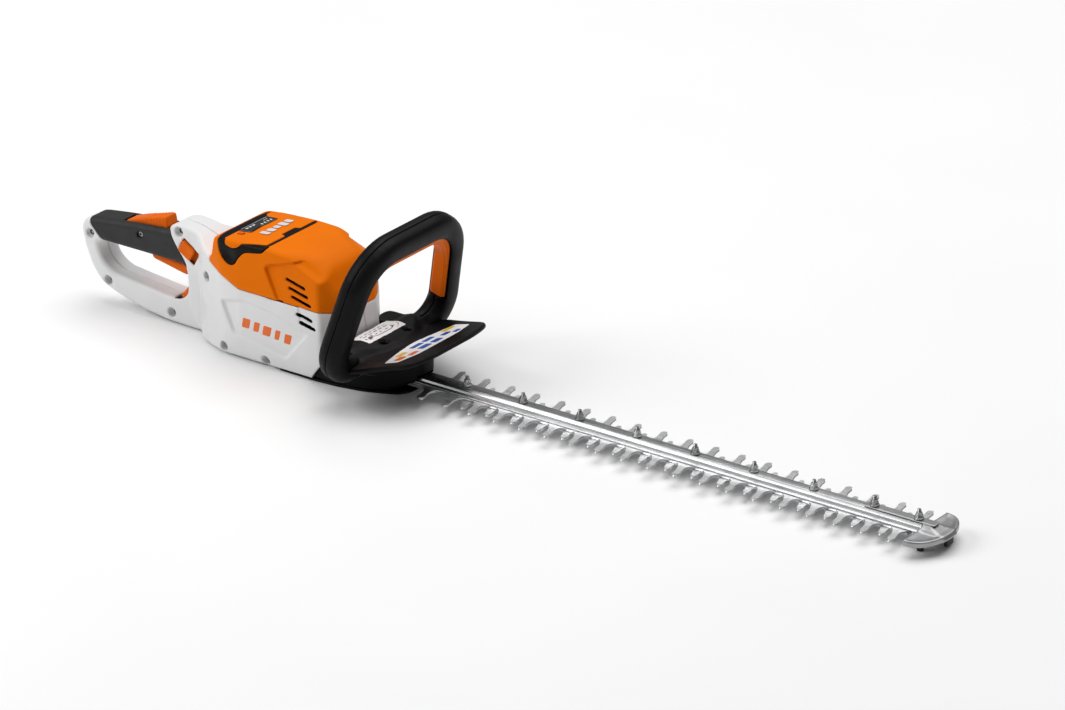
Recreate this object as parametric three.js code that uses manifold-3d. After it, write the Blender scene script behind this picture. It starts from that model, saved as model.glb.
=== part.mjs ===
// Cordless hedge trimmer with a double-sided reciprocating blade.
// Millimetres. +X runs forward along the blade, +Y to the tool's left, +Z up.
// The origin is on the floor, straight under the crank axis of the blade drive.
import * as THREE from "three";
import { mergeVertices } from "three/addons/utils/BufferGeometryUtils.js";
import Module from "manifold-3d";

const wasm = await Module();
wasm.setup();

// ---------------------------------------------------------------- driving dimensions
const GAP = 0.3; // clearance between neighbouring pieces
const WALL = 2.6; // wall of the plastic shells
const SEAM = 0.15; // half the gap between the left and right shells

// Blade
const PITCH = 30; // tooth pitch
const FIRST_TOOTH = 98.9; // centre of the rearmost long tooth
const LONG_TEETH = 19;
const SHORT_TEETH = 17;
const SHORT_OFFSET = 43.5; // from the first long tooth to the first short one
const STROKE = 9; // travel of each blade to either side
const BLADE_T = 2.2; // blade plate thickness
const SPINE = 11.5; // half width of the blade spine
const LOWER_Z = 9.05; // underside of the lower blade
const UPPER_Z = LOWER_Z + BLADE_T + GAP;
const RAIL_Z = UPPER_Z + BLADE_T + GAP; // underside of the guide rail
const RAIL_TOP = 20.9;
const RAIL_START = 31;
const RAIL_END = 655;
const BLADE_END = 643;
const BOLT_PITCH = 67.05;
const BOLT_X = [0, 1, 2, 3, 4, 5, 6, 7].map((i) => 130 + BOLT_PITCH * i).concat(648);
const STUD_R = 2;
const STUD_TOP = 31;

// Tip guard, whose tang is clamped on the rail by the last two bolts
const TANG_BOLT = 7; // index of the first bolt through the tang
const TANG_T = 1.6;
const TANG_HALF = 7.5;
const TIP_BACK = 654;
const TIP_FRONT = 684;
const TIP_HALF = 35;
const LIP_LOW = 11; // underside of the lip round the tip
const SKID_TOP = LIP_LOW - GAP;

// Drive train
const CRANK_R = 4.6; // crank shaft
const ECCENTRIC_R = 13;
const MODULE = 1.5;
const GEAR_TEETH = 36;
const PINION_TEETH = 9;
const GEAR_Z = 17;
const GEAR_T = 6;
const MOTOR_X = (-MODULE * (GEAR_TEETH + PINION_TEETH)) / 2;
const MOTOR_R = 24;
const BEARING_R = 10.7;

// Front loop, drawn in its own leaning plane
const LOOP_LEAN = THREE.MathUtils.degToRad(14.9);
const LOOP_ORIGIN = new THREE.Vector3(32, 0, 50);
const LOOP_TUBE_R = 14;
const LOOP_TOP = 113.3;
const LOOP_BOTTOM = -14;
const LOOP_HALF = 90.4; // half width at the level of the loop's origin
const LOOP_TAPER = 0.1826;
const BAR_TRAVEL = 4;
const BAR_BACK = 8.5; // hidden face of the switch bar, inwards from the tube's centre line

// Rear handle and body
const HANDLE_HALF = 16.5; // half width of the D handle
const BODY_HALF = 50;

// Battery, in a frame on its top face that tips down towards the rear
const BATTERY_TILT = THREE.MathUtils.degToRad(-4.4);
const BATTERY_TOP = new THREE.Vector3(-115, 0, 126.8);

const COLOUR = {
  white: 0xe4e4e2,
  orange: 0xf27a10,
  black: 0x1d1f21,
  steel: 0xb9bcbe,
  aluminium: 0xc6c8ca,
  zinc: 0x8b8d8f,
  copper: 0xa5673c,
  green: 0x1f5b3a,
  gloss: 0x0b0c0d,
};

// ---------------------------------------------------------------- geometry helpers
function solid(geometry) {
  const plain = geometry.index ? geometry.toNonIndexed() : geometry.clone();
  plain.deleteAttribute("normal");
  plain.deleteAttribute("uv");
  const merged = mergeVertices(plain, 1e-4);
  return new wasm.Manifold(
    new wasm.Mesh({
      numProp: 3,
      vertProperties: merged.attributes.position.array,
      triVerts: new Uint32Array(merged.index.array),
    }),
  );
}

function geometryOf(shape) {
  const mesh = shape.getMesh();
  const geometry = new THREE.BufferGeometry();
  geometry.setAttribute("position", new THREE.BufferAttribute(mesh.vertProperties, 3));
  geometry.setIndex(new THREE.BufferAttribute(mesh.triVerts, 1));
  geometry.computeVertexNormals();
  return geometry;
}

const join = (...shapes) => shapes.reduce((a, b) => a.add(b));
const cut = (shape, ...tools) => tools.reduce((a, b) => a.subtract(b), shape);

const vectors = (outline) => outline.map(([a, b]) => new THREE.Vector2(a, b));

// An outline's points, anticlockwise.
function anticlockwise(outline) {
  const points = vectors(outline);
  return THREE.ShapeUtils.isClockWise(points) ? points.reverse() : points;
}

// A prism of a flat outline, with its long edges rounded by bevel.
function prismGeometry(outline, length, bevel = 0, holes = []) {
  const shape = new THREE.Shape(anticlockwise(outline));
  shape.holes = holes.map((hole) => new THREE.Path(anticlockwise(hole)));
  const geometry = new THREE.ExtrudeGeometry(shape, {
    depth: length - 2 * bevel,
    bevelEnabled: bevel > 0,
    bevelThickness: bevel,
    bevelSize: bevel,
    bevelOffset: -bevel,
    bevelSegments: 2,
    curveSegments: 6,
  });
  return geometry.translate(0, 0, bevel);
}

// Outline in X and Z, from y0 to y1.
function sideSlab(outline, y0, y1, bevel = 0, holes = []) {
  const geometry = prismGeometry(outline, y1 - y0, bevel, holes);
  return solid(geometry.rotateX(Math.PI / 2).translate(0, y1, 0));
}

// Outline in X and Y, from z0 to z1.
function planSlab(outline, z0, z1, bevel = 0, holes = []) {
  return solid(prismGeometry(outline, z1 - z0, bevel, holes).translate(0, 0, z0));
}

// Outline in Y and Z, from x0 to x1.
function frontSlab(outline, x0, x1, bevel = 0, holes = []) {
  const turn = new THREE.Matrix4().makeBasis(
    new THREE.Vector3(0, 1, 0),
    new THREE.Vector3(0, 0, 1),
    new THREE.Vector3(1, 0, 0),
  );
  return solid(prismGeometry(outline, x1 - x0, bevel, holes).applyMatrix4(turn).translate(x0, 0, 0));
}

function block(x0, x1, y0, y1, z0, z1) {
  const geometry = new THREE.BoxGeometry(x1 - x0, y1 - y0, z1 - z0);
  return solid(geometry.translate((x0 + x1) / 2, (y0 + y1) / 2, (z0 + z1) / 2));
}

// A round rod along Z, or along Y when lying is true.
function rod(radius, x, y, z, length, segments = 16, lying = false) {
  const geometry = new THREE.CylinderGeometry(radius, radius, length, segments);
  if (!lying) geometry.rotateX(Math.PI / 2).translate(0, 0, length / 2);
  else geometry.translate(0, length / 2, 0);
  return solid(geometry.translate(x, y, z));
}

// A turned piece about the Z axis: profile points are [radius, z] on a closed outline.
function turned(profile, segments = 24) {
  const points = profile.concat([profile[0]]).map(([r, z]) => new THREE.Vector2(r, z));
  const geometry = new THREE.LatheGeometry(points, segments);
  return geometry.rotateX(Math.PI / 2);
}

// Moves an outline's edges inwards by distance; a negative distance grows it.
function inset(outline, distance) {
  const turn = THREE.ShapeUtils.isClockWise(vectors(outline)) ? -1 : 1;
  return outline.map((point, i) => {
    const before = outline[(i + outline.length - 1) % outline.length];
    const after = outline[(i + 1) % outline.length];
    const a = new THREE.Vector2(point[0] - before[0], point[1] - before[1]).normalize();
    const b = new THREE.Vector2(after[0] - point[0], after[1] - point[1]).normalize();
    const n1 = new THREE.Vector2(-a.y, a.x).multiplyScalar(turn);
    const n2 = new THREE.Vector2(-b.y, b.x).multiplyScalar(turn);
    const scale = distance / (1 + n1.dot(n2));
    return [point[0] + (n1.x + n2.x) * scale, point[1] + (n1.y + n2.y) * scale];
  });
}

// An outline given on one side of the X axis, closed by its mirror image.
function mirrored(half) {
  const other = half.slice().reverse().map(([a, b]) => [a, -b]);
  return half.concat(other.filter(([, b]) => Math.abs(b) > 1e-6));
}

// A flat outline's corners rounded with arcs, as a path from the first point to the last.
function roundedPath(corners) {
  const path = new THREE.Path();
  path.moveTo(corners[0][0], corners[0][1]);
  for (let i = 1; i < corners.length - 1; i++) {
    const here = new THREE.Vector2(corners[i][0], corners[i][1]);
    const back = new THREE.Vector2(corners[i - 1][0], corners[i - 1][1]).sub(here).normalize();
    const ahead = new THREE.Vector2(corners[i + 1][0], corners[i + 1][1]).sub(here).normalize();
    const half = Math.acos(back.dot(ahead)) / 2;
    const radius = corners[i][2];
    const start = here.clone().addScaledVector(back, radius / Math.tan(half));
    const end = here.clone().addScaledVector(ahead, radius / Math.tan(half));
    const middle = back.clone().add(ahead).normalize();
    const centre = here.clone().addScaledVector(middle, radius / Math.sin(half));
    const clockwise = back.x * ahead.y - back.y * ahead.x > 0;
    path.lineTo(start.x, start.y);
    const from = Math.atan2(start.y - centre.y, start.x - centre.x);
    const to = Math.atan2(end.y - centre.y, end.x - centre.x);
    path.absarc(centre.x, centre.y, radius, from, to, clockwise);
  }
  const last = corners[corners.length - 1];
  path.lineTo(last[0], last[1]);
  return path;
}

// A flat path carried into space by an origin and two directions.
class PlanePath extends THREE.Curve {
  constructor(path, origin, across, up) {
    super();
    Object.assign(this, { path, origin, across, up });
  }
  getPoint(t, target = new THREE.Vector3()) {
    const flat = this.path.getPointAt(t);
    return target
      .copy(this.origin)
      .addScaledVector(this.across, flat.x)
      .addScaledVector(this.up, flat.y);
  }
}

class Helix extends THREE.Curve {
  constructor(radius, height, turns) {
    super();
    Object.assign(this, { radius, height, turns });
  }
  getPoint(t, target = new THREE.Vector3()) {
    const angle = 2 * Math.PI * this.turns * t;
    return target.set(this.radius * Math.cos(angle), this.radius * Math.sin(angle), this.height * t);
  }
}

function tube(curve, radius, steps, sides) {
  const ring = new THREE.Shape();
  for (let i = 0; i < sides; i++) {
    const angle = (2 * Math.PI * (i + 0.5)) / sides;
    const point = [radius * Math.cos(angle), radius * Math.sin(angle)];
    if (i === 0) ring.moveTo(...point);
    else ring.lineTo(...point);
  }
  return new THREE.ExtrudeGeometry(ring, { steps, extrudePath: curve, bevelEnabled: false });
}

function coilSpring(radius, wire, height, turns) {
  const curve = new Helix(radius, height - 2 * wire, turns);
  return tube(curve, wire, turns * 10, 5).translate(0, 0, wire);
}

// ---------------------------------------------------------------- assembly
const trimmer = new THREE.Group();

const material = (colour, roughness, metalness = 0) =>
  new THREE.MeshStandardMaterial({ color: colour, roughness, metalness });

const finish = {
  white: () => material(COLOUR.white, 0.45),
  orange: () => material(COLOUR.orange, 0.4),
  black: () => material(COLOUR.black, 0.5),
  rubber: () => material(COLOUR.black, 0.75),
  gloss: () => material(COLOUR.gloss, 0.15),
  steel: () => material(COLOUR.steel, 0.3, 1),
  aluminium: () => material(COLOUR.aluminium, 0.35, 1),
  zinc: () => material(COLOUR.zinc, 0.35, 1),
  copper: () => material(COLOUR.copper, 0.4, 1),
  green: () => material(COLOUR.green, 0.5),
};

function add(name, shape, look, parent = trimmer) {
  const geometry = shape.isBufferGeometry ? shape : geometryOf(shape);
  const mesh = new THREE.Mesh(geometry, look());
  mesh.name = name;
  parent.add(mesh);
  return mesh;
}

// ---------------------------------------------------------------- outlines of the body
const BODY_SIDE = [
  [-186, 1], [8, 1], [8, 46], [3, 73], [-15, 116], [-27, 122.5], [-50, 127.5], [-84, 129.5],
  [-151.5, 124], [-158, 96], [-170, 101], [-183, 107], [-193, 110], [-208, 112.5],
  [-218, 111.5], [-227, 107], [-227, 101], [-217, 85.5], [-206, 72], [-204, 58], [-203.5, 30],
];
const BODY_PLAN = mirrored([
  [-230, 17], [-206, 18], [-190, 20.5], [-170, 31], [-155, 40], [-140, 46], [-114, BODY_HALF],
  [-14, BODY_HALF], [3, 24], [12, 22],
]);
const BODY_SECTION = mirrored([
  [0, 43], [10, 46.5], [30, 49.5], [78, BODY_HALF], [100, 48], [130, 45.5],
]).map(([z, y]) => [y, z]);
const HANDLE_OUTER = [
  [-180, 0.6], [-232, 1.5], [-262, 5.5], [-295, 13], [-319.5, 22], [-333, 39.5], [-340, 58],
  [-344.5, 76], [-342, 85.5], [-332, 91], [-294, 96], [-240, 101], [-190, 103],
  [-184, 60], [-180, 30],
];
const HAND_OPENING = [
  [-321.5, 69], [-211, 69], [-205.5, 62], [-204.5, 47], [-208, 37], [-217, 31], [-234, 30.5],
  [-269, 34], [-302, 37.5], [-315, 46], [-321.5, 59],
];
// The black grip lies above and between these two edges of the white handle.
const GRIP_REGION = [
  [-341, 112], [-338, 97], [-329, 83], [-317, 71], [-310, 60], [-210, 60],
  [-206, 66], [-206, 72], [-217, 85.5], [-227, 101], [-232, 115],
];
// The orange hood lies above this edge of the white housing.
const HOOD_REGION = [
  [-166, 104], [-158, 93], [-114, 78], [-14, 77], [3, 72.8], [30, 66], [30, 140], [-166, 140],
];
const GEAR_CASE_PLAN = mirrored([
  [-46, 34], [-27, 34], [-27, 43], [0, 42], [30, 36], [63, 22], [78, 15], [83, 9],
]);
const GEAR_CASE_Z = [3 + GAP, 44.7];
const BOTTOM_PLAN = mirrored([[-72, 42], [-27, 43], [0, 41], [30, 35], [62, 21], [69, 8]]);
// The white shells stop at this edge, where the black case comes up behind the loop's legs.
const SHELL_FRONT = [[-27.6, -5], [-27.6, 4], [-8, 28], [-8, 45], [20, 45], [20, -5]];

// Everything that the shells' outer surfaces enclose, and the hollow inside them.
function bodySolid(shrink) {
  const side = sideSlab(inset(BODY_SIDE, shrink), -60, 60);
  const plan = planSlab(inset(BODY_PLAN, shrink), -10, 150);
  const section = frontSlab(inset(BODY_SECTION, shrink), -240, 30);
  return side.intersect(plan).intersect(section);
}

function handleSolid(shrink) {
  const half = HANDLE_HALF - shrink;
  const bevel = shrink > 0 ? 0 : 5;
  return sideSlab(inset(HANDLE_OUTER, shrink), -half, half, bevel, [inset(HAND_OPENING, -shrink)]);
}

const outside = join(bodySolid(0), handleSolid(0));
const hollow = join(bodySolid(WALL), handleSolid(WALL));

// The two planes that narrow the hood towards its front, each moved inwards by depth.
function hoodFacets(depth) {
  return [-1, 1].map((sign) => {
    const corners = [[-60, 44.5, 128], [-16.5, 26.2, 116.8], [-22, 46, 104]];
    const [a, b, c] = corners.map(([x, y, z]) => new THREE.Vector3(x, sign * y, z));
    const normal = b.clone().sub(a).cross(c.clone().sub(a)).normalize();
    normal.multiplyScalar(Math.sign(normal.z));
    const turn = new THREE.Quaternion().setFromUnitVectors(new THREE.Vector3(0, 0, 1), normal);
    const box = new THREE.BoxGeometry(300, 300, 100).translate(0, 0, 50 - depth);
    return solid(box.applyQuaternion(turn).translate(a.x, a.y, a.z));
  });
}

// Slots for cooling air, three in the hood and two below its edge; the fourth place is the edge.
const VENT_PLACES = [0, 1, 2, 4, 5];
const VENT_SLOPE = 0.19;
function ventCutters() {
  return VENT_PLACES.flatMap((i) =>
    [-1, 1].map((sign) => {
      const geometry = new THREE.BoxGeometry(26, 16, 3.4);
      geometry.rotateY(VENT_SLOPE).translate(-44.6 + 3.75 * i, sign * BODY_HALF, 99.6 - 8.1 * i);
      return solid(geometry);
    }),
  );
}

// ---------------------------------------------------------------- battery
const batteryFrame = new THREE.Matrix4()
  .makeRotationY(BATTERY_TILT)
  .setPosition(BATTERY_TOP);

function batteryBlock(x0, x1, half, z0, z1) {
  const geometry = new THREE.BoxGeometry(x1 - x0, 2 * half, z1 - z0);
  geometry.translate((x0 + x1) / 2, 0, (z0 + z1) / 2);
  return solid(geometry.applyMatrix4(batteryFrame));
}

const BATTERY_RIM = mirrored([[-32.5, 28], [-29, 39], [-24, 42.5], [26, 42.5], [32.5, 40]]);
const BATTERY_PANEL = [[-21, -38.5], [-21, 28], [-26, 31], [-26, 38], [28.5, 38], [29.5, -38]];
const DISPLAY = [-20, -7.3, -17, 26]; // least and greatest x, then y
const BUTTON = [-17, -10, -26.5, -21.5];

// A block over a rectangle, given as least and greatest x and y, grown by clear on each side.
function grownBlock([x0, x1, y0, y1], clear, z0, z1) {
  return block(x0 - clear, x1 + clear, y0 - clear, y1 + clear, z0, z1);
}

function makeBattery() {
  const group = new THREE.Group();
  group.rotation.y = BATTERY_TILT;
  group.position.copy(BATTERY_TOP);
  const pocket = planSlab(inset(BATTERY_PANEL, -GAP), -2, 5);
  const body = join(block(-27, 28, -40.5, 40.5, -76, -5), planSlab(BATTERY_RIM, -6, 0));
  const hole = grownBlock(BUTTON, 0.5, -3, 5);
  add("battery_case", cut(body, pocket, hole), finish.black, group);
  const window = grownBlock([-22, ...DISPLAY.slice(1)], GAP, -0.8, 5);
  add("battery_cover", cut(planSlab(BATTERY_PANEL, -2 + GAP, 0.6), window, hole), finish.orange, group);
  add("battery_display", grownBlock(DISPLAY, 0, -0.5, 1), finish.gloss, group);
  add("battery_button", grownBlock(BUTTON, 0, -1.4, 1.4), finish.black, group);
  trimmer.add(group);
}

// ---------------------------------------------------------------- screws and their bosses
const SCREWS = [
  { name: "housing_screw_rear", x: -331, z: 73, face: 13 },
  { name: "housing_screw_low", x: -309, z: 27, face: 13 },
  { name: "housing_screw_mid", x: -228, z: 14, face: 13 },
];
const GRIP_SCREW = { name: "grip_screw", x: -268, z: 82.5, face: 13.4 };
const HEAD_R = 3.1;
const SHANK_R = 1.5;

function screwBoss({ x, z }, sign) {
  const length = HANDLE_HALF - WALL / 2 - SEAM;
  return rod(5.5, x, sign > 0 ? SEAM : -SEAM - length, z, length, 12, true);
}

function screwHole({ x, z, face }) {
  const shank = rod(SHANK_R + GAP, x, -face, z, face + 8, 8, true);
  const head = rod(HEAD_R + GAP, x, -face - 10, z, 12, 12, true);
  return join(shank, head);
}

function screw({ x, z, face }) {
  const head = rod(HEAD_R, x, -face - 0.2, z, 2, 12, true);
  return join(head, rod(SHANK_R, x, -face + 1, z, face + 6, 8, true));
}

// ---------------------------------------------------------------- housing
const LOCK_SLOPE = 0.55; // the lock slide runs forward and down at this angle
const LOCK_AT = [-203, 87.4];
const LOCK_TRAVEL = 5;

function lockBlock(x0, x1, y0, y1, z0, z1) {
  const geometry = new THREE.BoxGeometry(x1 - x0, y1 - y0, z1 - z0);
  geometry.translate((x0 + x1) / 2, (y0 + y1) / 2, (z0 + z1) / 2);
  return solid(geometry.rotateY(LOCK_SLOPE).translate(LOCK_AT[0], 0, LOCK_AT[1]));
}

const LATCH = [[-199, 47], [-204.5, 48.5], [-217, 33], [-213, 29.5], [-203, 34], [-199, 38]];
const LATCH_HALF = 17;
const LATCH_WINDOW = [[-195, 50.5], [-206, 51], [-228, 36], [-220, 24], [-203, 27], [-195, 34]];

const TRIGGER = [
  [-262, 71], [-258.5, 70], [-257.5, 63.5], [-255, 61.5], [-216, 54], [-211, 54.5], [-210, 62],
  [-214, 66], [-247, 67], [-252, 76], [-262, 76],
];
const TRIGGER_PIVOT = [-257.5, 72.5];
const LEVER_PIVOT = [-284, 92];
const SAFETY_LEVER = [
  [-290, 90], [-279, 89.5], [-274, 93], [-258, 92.5], [-240, 90], [-234, 101], [-238, 112],
  [-275, 101], [-290, 95.5],
];

function housingHalf(sign) {
  const side = sign > 0 ? block(-360, 40, SEAM, 70, -5, 150) : block(-360, 40, -70, -SEAM, -5, 150);
  const shell = cut(outside, hollow).add(
    join(...SCREWS.map((place) => screwBoss(place, sign))).intersect(outside),
  );
  const gearRegion = planSlab(inset(GEAR_CASE_PLAN, -2 * GAP), -5, GEAR_CASE_Z[1] + GAP);
  return cut(
    shell.intersect(side),
    sideSlab(inset(HOOD_REGION, -GAP / 2), -60, 60),
    sideSlab(inset(GRIP_REGION, -GAP / 2), -30, 30),
    gearRegion,
    sideSlab(SHELL_FRONT, -60, 60),
    planSlab(inset(BOTTOM_PLAN, -GAP), -5, 3 + GAP),
    sideSlab(LATCH_WINDOW, -LATCH_HALF - 1, LATCH_HALF + 1),
    lockBlock(-9.5, 9.5 + LOCK_TRAVEL, -40, 40, -8, 8),
    ...SCREWS.map(screwHole),
    ...ventCutters(),
  );
}

function makeHousing() {
  add("housing_right", housingHalf(-1), finish.white);
  add("housing_left", housingHalf(1), finish.white);
  const skin = cut(bodySolid(0), ...hoodFacets(0));
  const inside = cut(bodySolid(WALL), ...hoodFacets(WALL));
  const hood = cut(skin, inside).intersect(sideSlab(inset(HOOD_REGION, GAP / 2), -60, 60));
  const bay = join(batteryBlock(-33, 33, 43, -12, 30), batteryBlock(-27.8, 28.8, 41.3, -90, 0));
  add("top_cover", cut(hood, bay, ...ventCutters()), finish.orange);
}

function gripHalf(sign) {
  const side = sign > 0 ? block(-360, -150, SEAM, 30, 0, 130) : block(-360, -150, -30, -SEAM, 0, 130);
  const shell = cut(handleSolid(0), handleSolid(WALL)).add(
    screwBoss(GRIP_SCREW, sign).intersect(handleSolid(0)),
  );
  return cut(
    shell.intersect(sideSlab(inset(GRIP_REGION, GAP / 2), -30, 30)).intersect(side),
    block(-263.5, -204, -9, 9, 50, 73),
    block(-292, -229, -10, 10, 91, 120),
    lockBlock(-12, 10, -40, 40, -9, 9),
    screwHole(GRIP_SCREW),
    rod(2 + GAP, TRIGGER_PIVOT[0], -13, TRIGGER_PIVOT[1], 26, 12, true),
  );
}

function makeGrip() {
  add("grip_right", gripHalf(-1), finish.rubber);
  add("grip_left", gripHalf(1), finish.rubber);
  add(GRIP_SCREW.name, screw(GRIP_SCREW), finish.zinc);
  SCREWS.forEach((place) => add(place.name, screw(place), finish.zinc));
}

// ---------------------------------------------------------------- controls of the rear handle
function makeControls() {
  const pin = ([x, z]) => rod(2, x, -12, z, 24, 12, true);
  const trigger = sideSlab(TRIGGER, -8, 8, 1);
  add("trigger", join(trigger, pin(TRIGGER_PIVOT)), finish.orange);
  const lever = sideSlab(SAFETY_LEVER, -9, 9, 1);
  add("safety_lever", join(lever, pin(LEVER_PIVOT)), finish.orange);
  const buttons = [-1, 1].map((sign) => {
    const middle = sign * 18.5;
    return lockBlock(-8.7, 8.7, middle - 2.5, middle + 2.5, -7.2, 7.2);
  });
  add("lock_slide", join(lockBlock(-4, 4, -19, 19, -4, 4), ...buttons), finish.orange);
  add("battery_latch", sideSlab(LATCH, -LATCH_HALF, LATCH_HALF, 1), finish.orange);
  add("trigger_switch", block(-230, -214, -6, 6, 79.5, 88), finish.black);
  const spring = coilSpring(3.4, 0.6, 12.2, 4).translate(-224, 0, 67);
  add("trigger_spring", spring, finish.steel);
}

// ---------------------------------------------------------------- front loop
const across = new THREE.Vector3(0, 1, 0);
const upward = new THREE.Vector3(Math.sin(LOOP_LEAN), 0, Math.cos(LOOP_LEAN));
const forward = new THREE.Vector3(Math.cos(LOOP_LEAN), 0, -Math.sin(LOOP_LEAN));
const LOOP_ENDS = 56;
const LOOP_STEPS = 36;

// Corner points of the loop's centre line, moved inwards by distance; third value is the radius.
function loopCorners(distance) {
  const bottom = LOOP_BOTTOM + distance;
  const top = LOOP_TOP - distance;
  const slant = distance * Math.hypot(1, LOOP_TAPER);
  const halfAt = (w) => LOOP_HALF - LOOP_TAPER * w - slant;
  const low = halfAt(bottom);
  const high = halfAt(top);
  return [
    [-LOOP_ENDS, bottom], [-low, bottom, 28 - distance], [-high, top, 46.6 - distance],
    [high, top, 46.6 - distance], [low, bottom, 28 - distance], [LOOP_ENDS, bottom],
  ];
}

// A slab of a flat outline in the loop's plane, reaching half to each side of it.
function loopSlab(outline, back, front, bevel = 0, holes = []) {
  const place = new THREE.Matrix4().makeBasis(across, upward, forward).setPosition(LOOP_ORIGIN);
  const geometry = prismGeometry(outline, front - back, bevel, holes).translate(0, 0, back);
  return solid(geometry.applyMatrix4(place));
}

// The U of the switch bar: the band between two offsets of the loop's centre line, down to low.
function barOutline(outer, inner, low, lift) {
  const band = (distance) => {
    const [, , topLeft, topRight] = loopCorners(distance);
    const halfLow = LOOP_HALF - LOOP_TAPER * low - distance * Math.hypot(1, LOOP_TAPER);
    const path = roundedPath([[-halfLow, low], topLeft, topRight, [halfLow, low]]);
    return path.getPoints(8).map((p) => [p.x, p.y + (distance === outer ? lift : 0)]);
  };
  return band(outer).concat(band(inner).reverse());
}

function makeLoop() {
  const curve = new PlanePath(roundedPath(loopCorners(0)), LOOP_ORIGIN, across, upward);
  const skin = solid(tube(curve, LOOP_TUBE_R, LOOP_STEPS, 10));
  const bore = solid(tube(curve, LOOP_TUBE_R - WALL, LOOP_STEPS, 10));
  const groove = loopSlab(barOutline(7, 20, 14, BAR_TRAVEL + 1), -11, 11);
  const shell = cut(skin, bore, groove);
  const wide = [[-140, -60], [140, -60], [140, 160], [-140, 160]];
  add("loop_front_shell", shell.intersect(loopSlab(wide, SEAM, 40)), finish.black);
  add("loop_rear_shell", shell.intersect(loopSlab(wide, -40, -SEAM)), finish.black);
  add("loop_switch_bar", loopSlab(barOutline(BAR_BACK, 15, 20, 0), -10, 10), finish.orange);
  add("loop_switch", loopSlab([[-10, 116], [10, 116], [10, 122], [-10, 122]], -5, 5), finish.black);
  const seat = LOOP_ORIGIN.clone().addScaledVector(upward, LOOP_TOP - BAR_BACK + GAP);
  const place = new THREE.Matrix4().makeBasis(forward, across, upward).setPosition(seat);
  add("bar_spring", coilSpring(3, 0.6, 10.6, 3).applyMatrix4(place), finish.steel);
}

// ---------------------------------------------------------------- hand guard
const GUARD_PLAN = mirrored([
  [30, 58], [36, 74], [50, 77.5], [72, 71.5], [90, 68], [104, 66], [111, 61], [115, 50], [118.5, 30],
]);
const GUARD_SLOPE = 0.273; // the plate rises forwards
const GUARD_T = 5;
const GUARD_HINGE = [60, 41.5]; // x and z of the line where the plate meets the saddle
const SADDLE_PLAN = mirrored([[-8, 55.6], [52, 55.6], [62, 44], [68, 25], [68, 8]]);

function makeGuard() {
  const [hingeX, hingeZ] = GUARD_HINGE;
  const geometry = prismGeometry(GUARD_PLAN.map(([x, y]) => [x - hingeX, y]), GUARD_T);
  geometry.rotateY(-GUARD_SLOPE).translate(hingeX, 0, hingeZ);
  const crown = mirrored([[30, 57], [42, 57], [51, 24]]).map(([z, y]) => [y, z]);
  const saddle = planSlab(SADDLE_PLAN, 20, 60).intersect(frontSlab(crown, -20, 80));
  const core = planSlab(inset(GEAR_CASE_PLAN, -2 * GAP), 0, GEAR_CASE_Z[1] + 2 * GAP);
  const nose = planSlab(inset(BODY_PLAN, -2 * GAP), 0, 80);
  const curve = new PlanePath(roundedPath(loopCorners(0)), LOOP_ORIGIN, across, upward);
  const legs = solid(tube(curve, LOOP_TUBE_R + GAP, LOOP_STEPS, 10));
  const holes = [-1, 1].map((sign) => rod(4, 44, 19 * sign, 47.5, 10, 12));
  add("hand_guard", cut(join(solid(geometry), saddle), core, nose, legs, ...holes), finish.black);
}

// ---------------------------------------------------------------- blade drive
// A spur gear's outline: one flat tooth for each pitch, thinner than its space.
function gearOutline(teeth, clearance) {
  const pitchRadius = (MODULE * teeth) / 2;
  const outer = pitchRadius + 0.9 * MODULE;
  const root = pitchRadius - 1.15 * MODULE;
  const points = [];
  const step = (2 * Math.PI) / teeth;
  const half = (Math.PI * MODULE) / 4 - clearance;
  for (let i = 0; i < teeth; i++) {
    const tooth = [[root, half + 0.45], [outer, half - 0.45]];
    tooth.forEach(([r, w]) => points.push([r, i * step - w / pitchRadius]));
    tooth.reverse().forEach(([r, w]) => points.push([r, i * step + w / pitchRadius]));
  }
  return points.map(([r, angle]) => [r * Math.cos(angle), r * Math.sin(angle)]);
}

function circle(radius, segments) {
  return Array.from({ length: segments }, (_, i) => {
    const angle = (2 * Math.PI * i) / segments;
    return [radius * Math.cos(angle), radius * Math.sin(angle)];
  });
}

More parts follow.
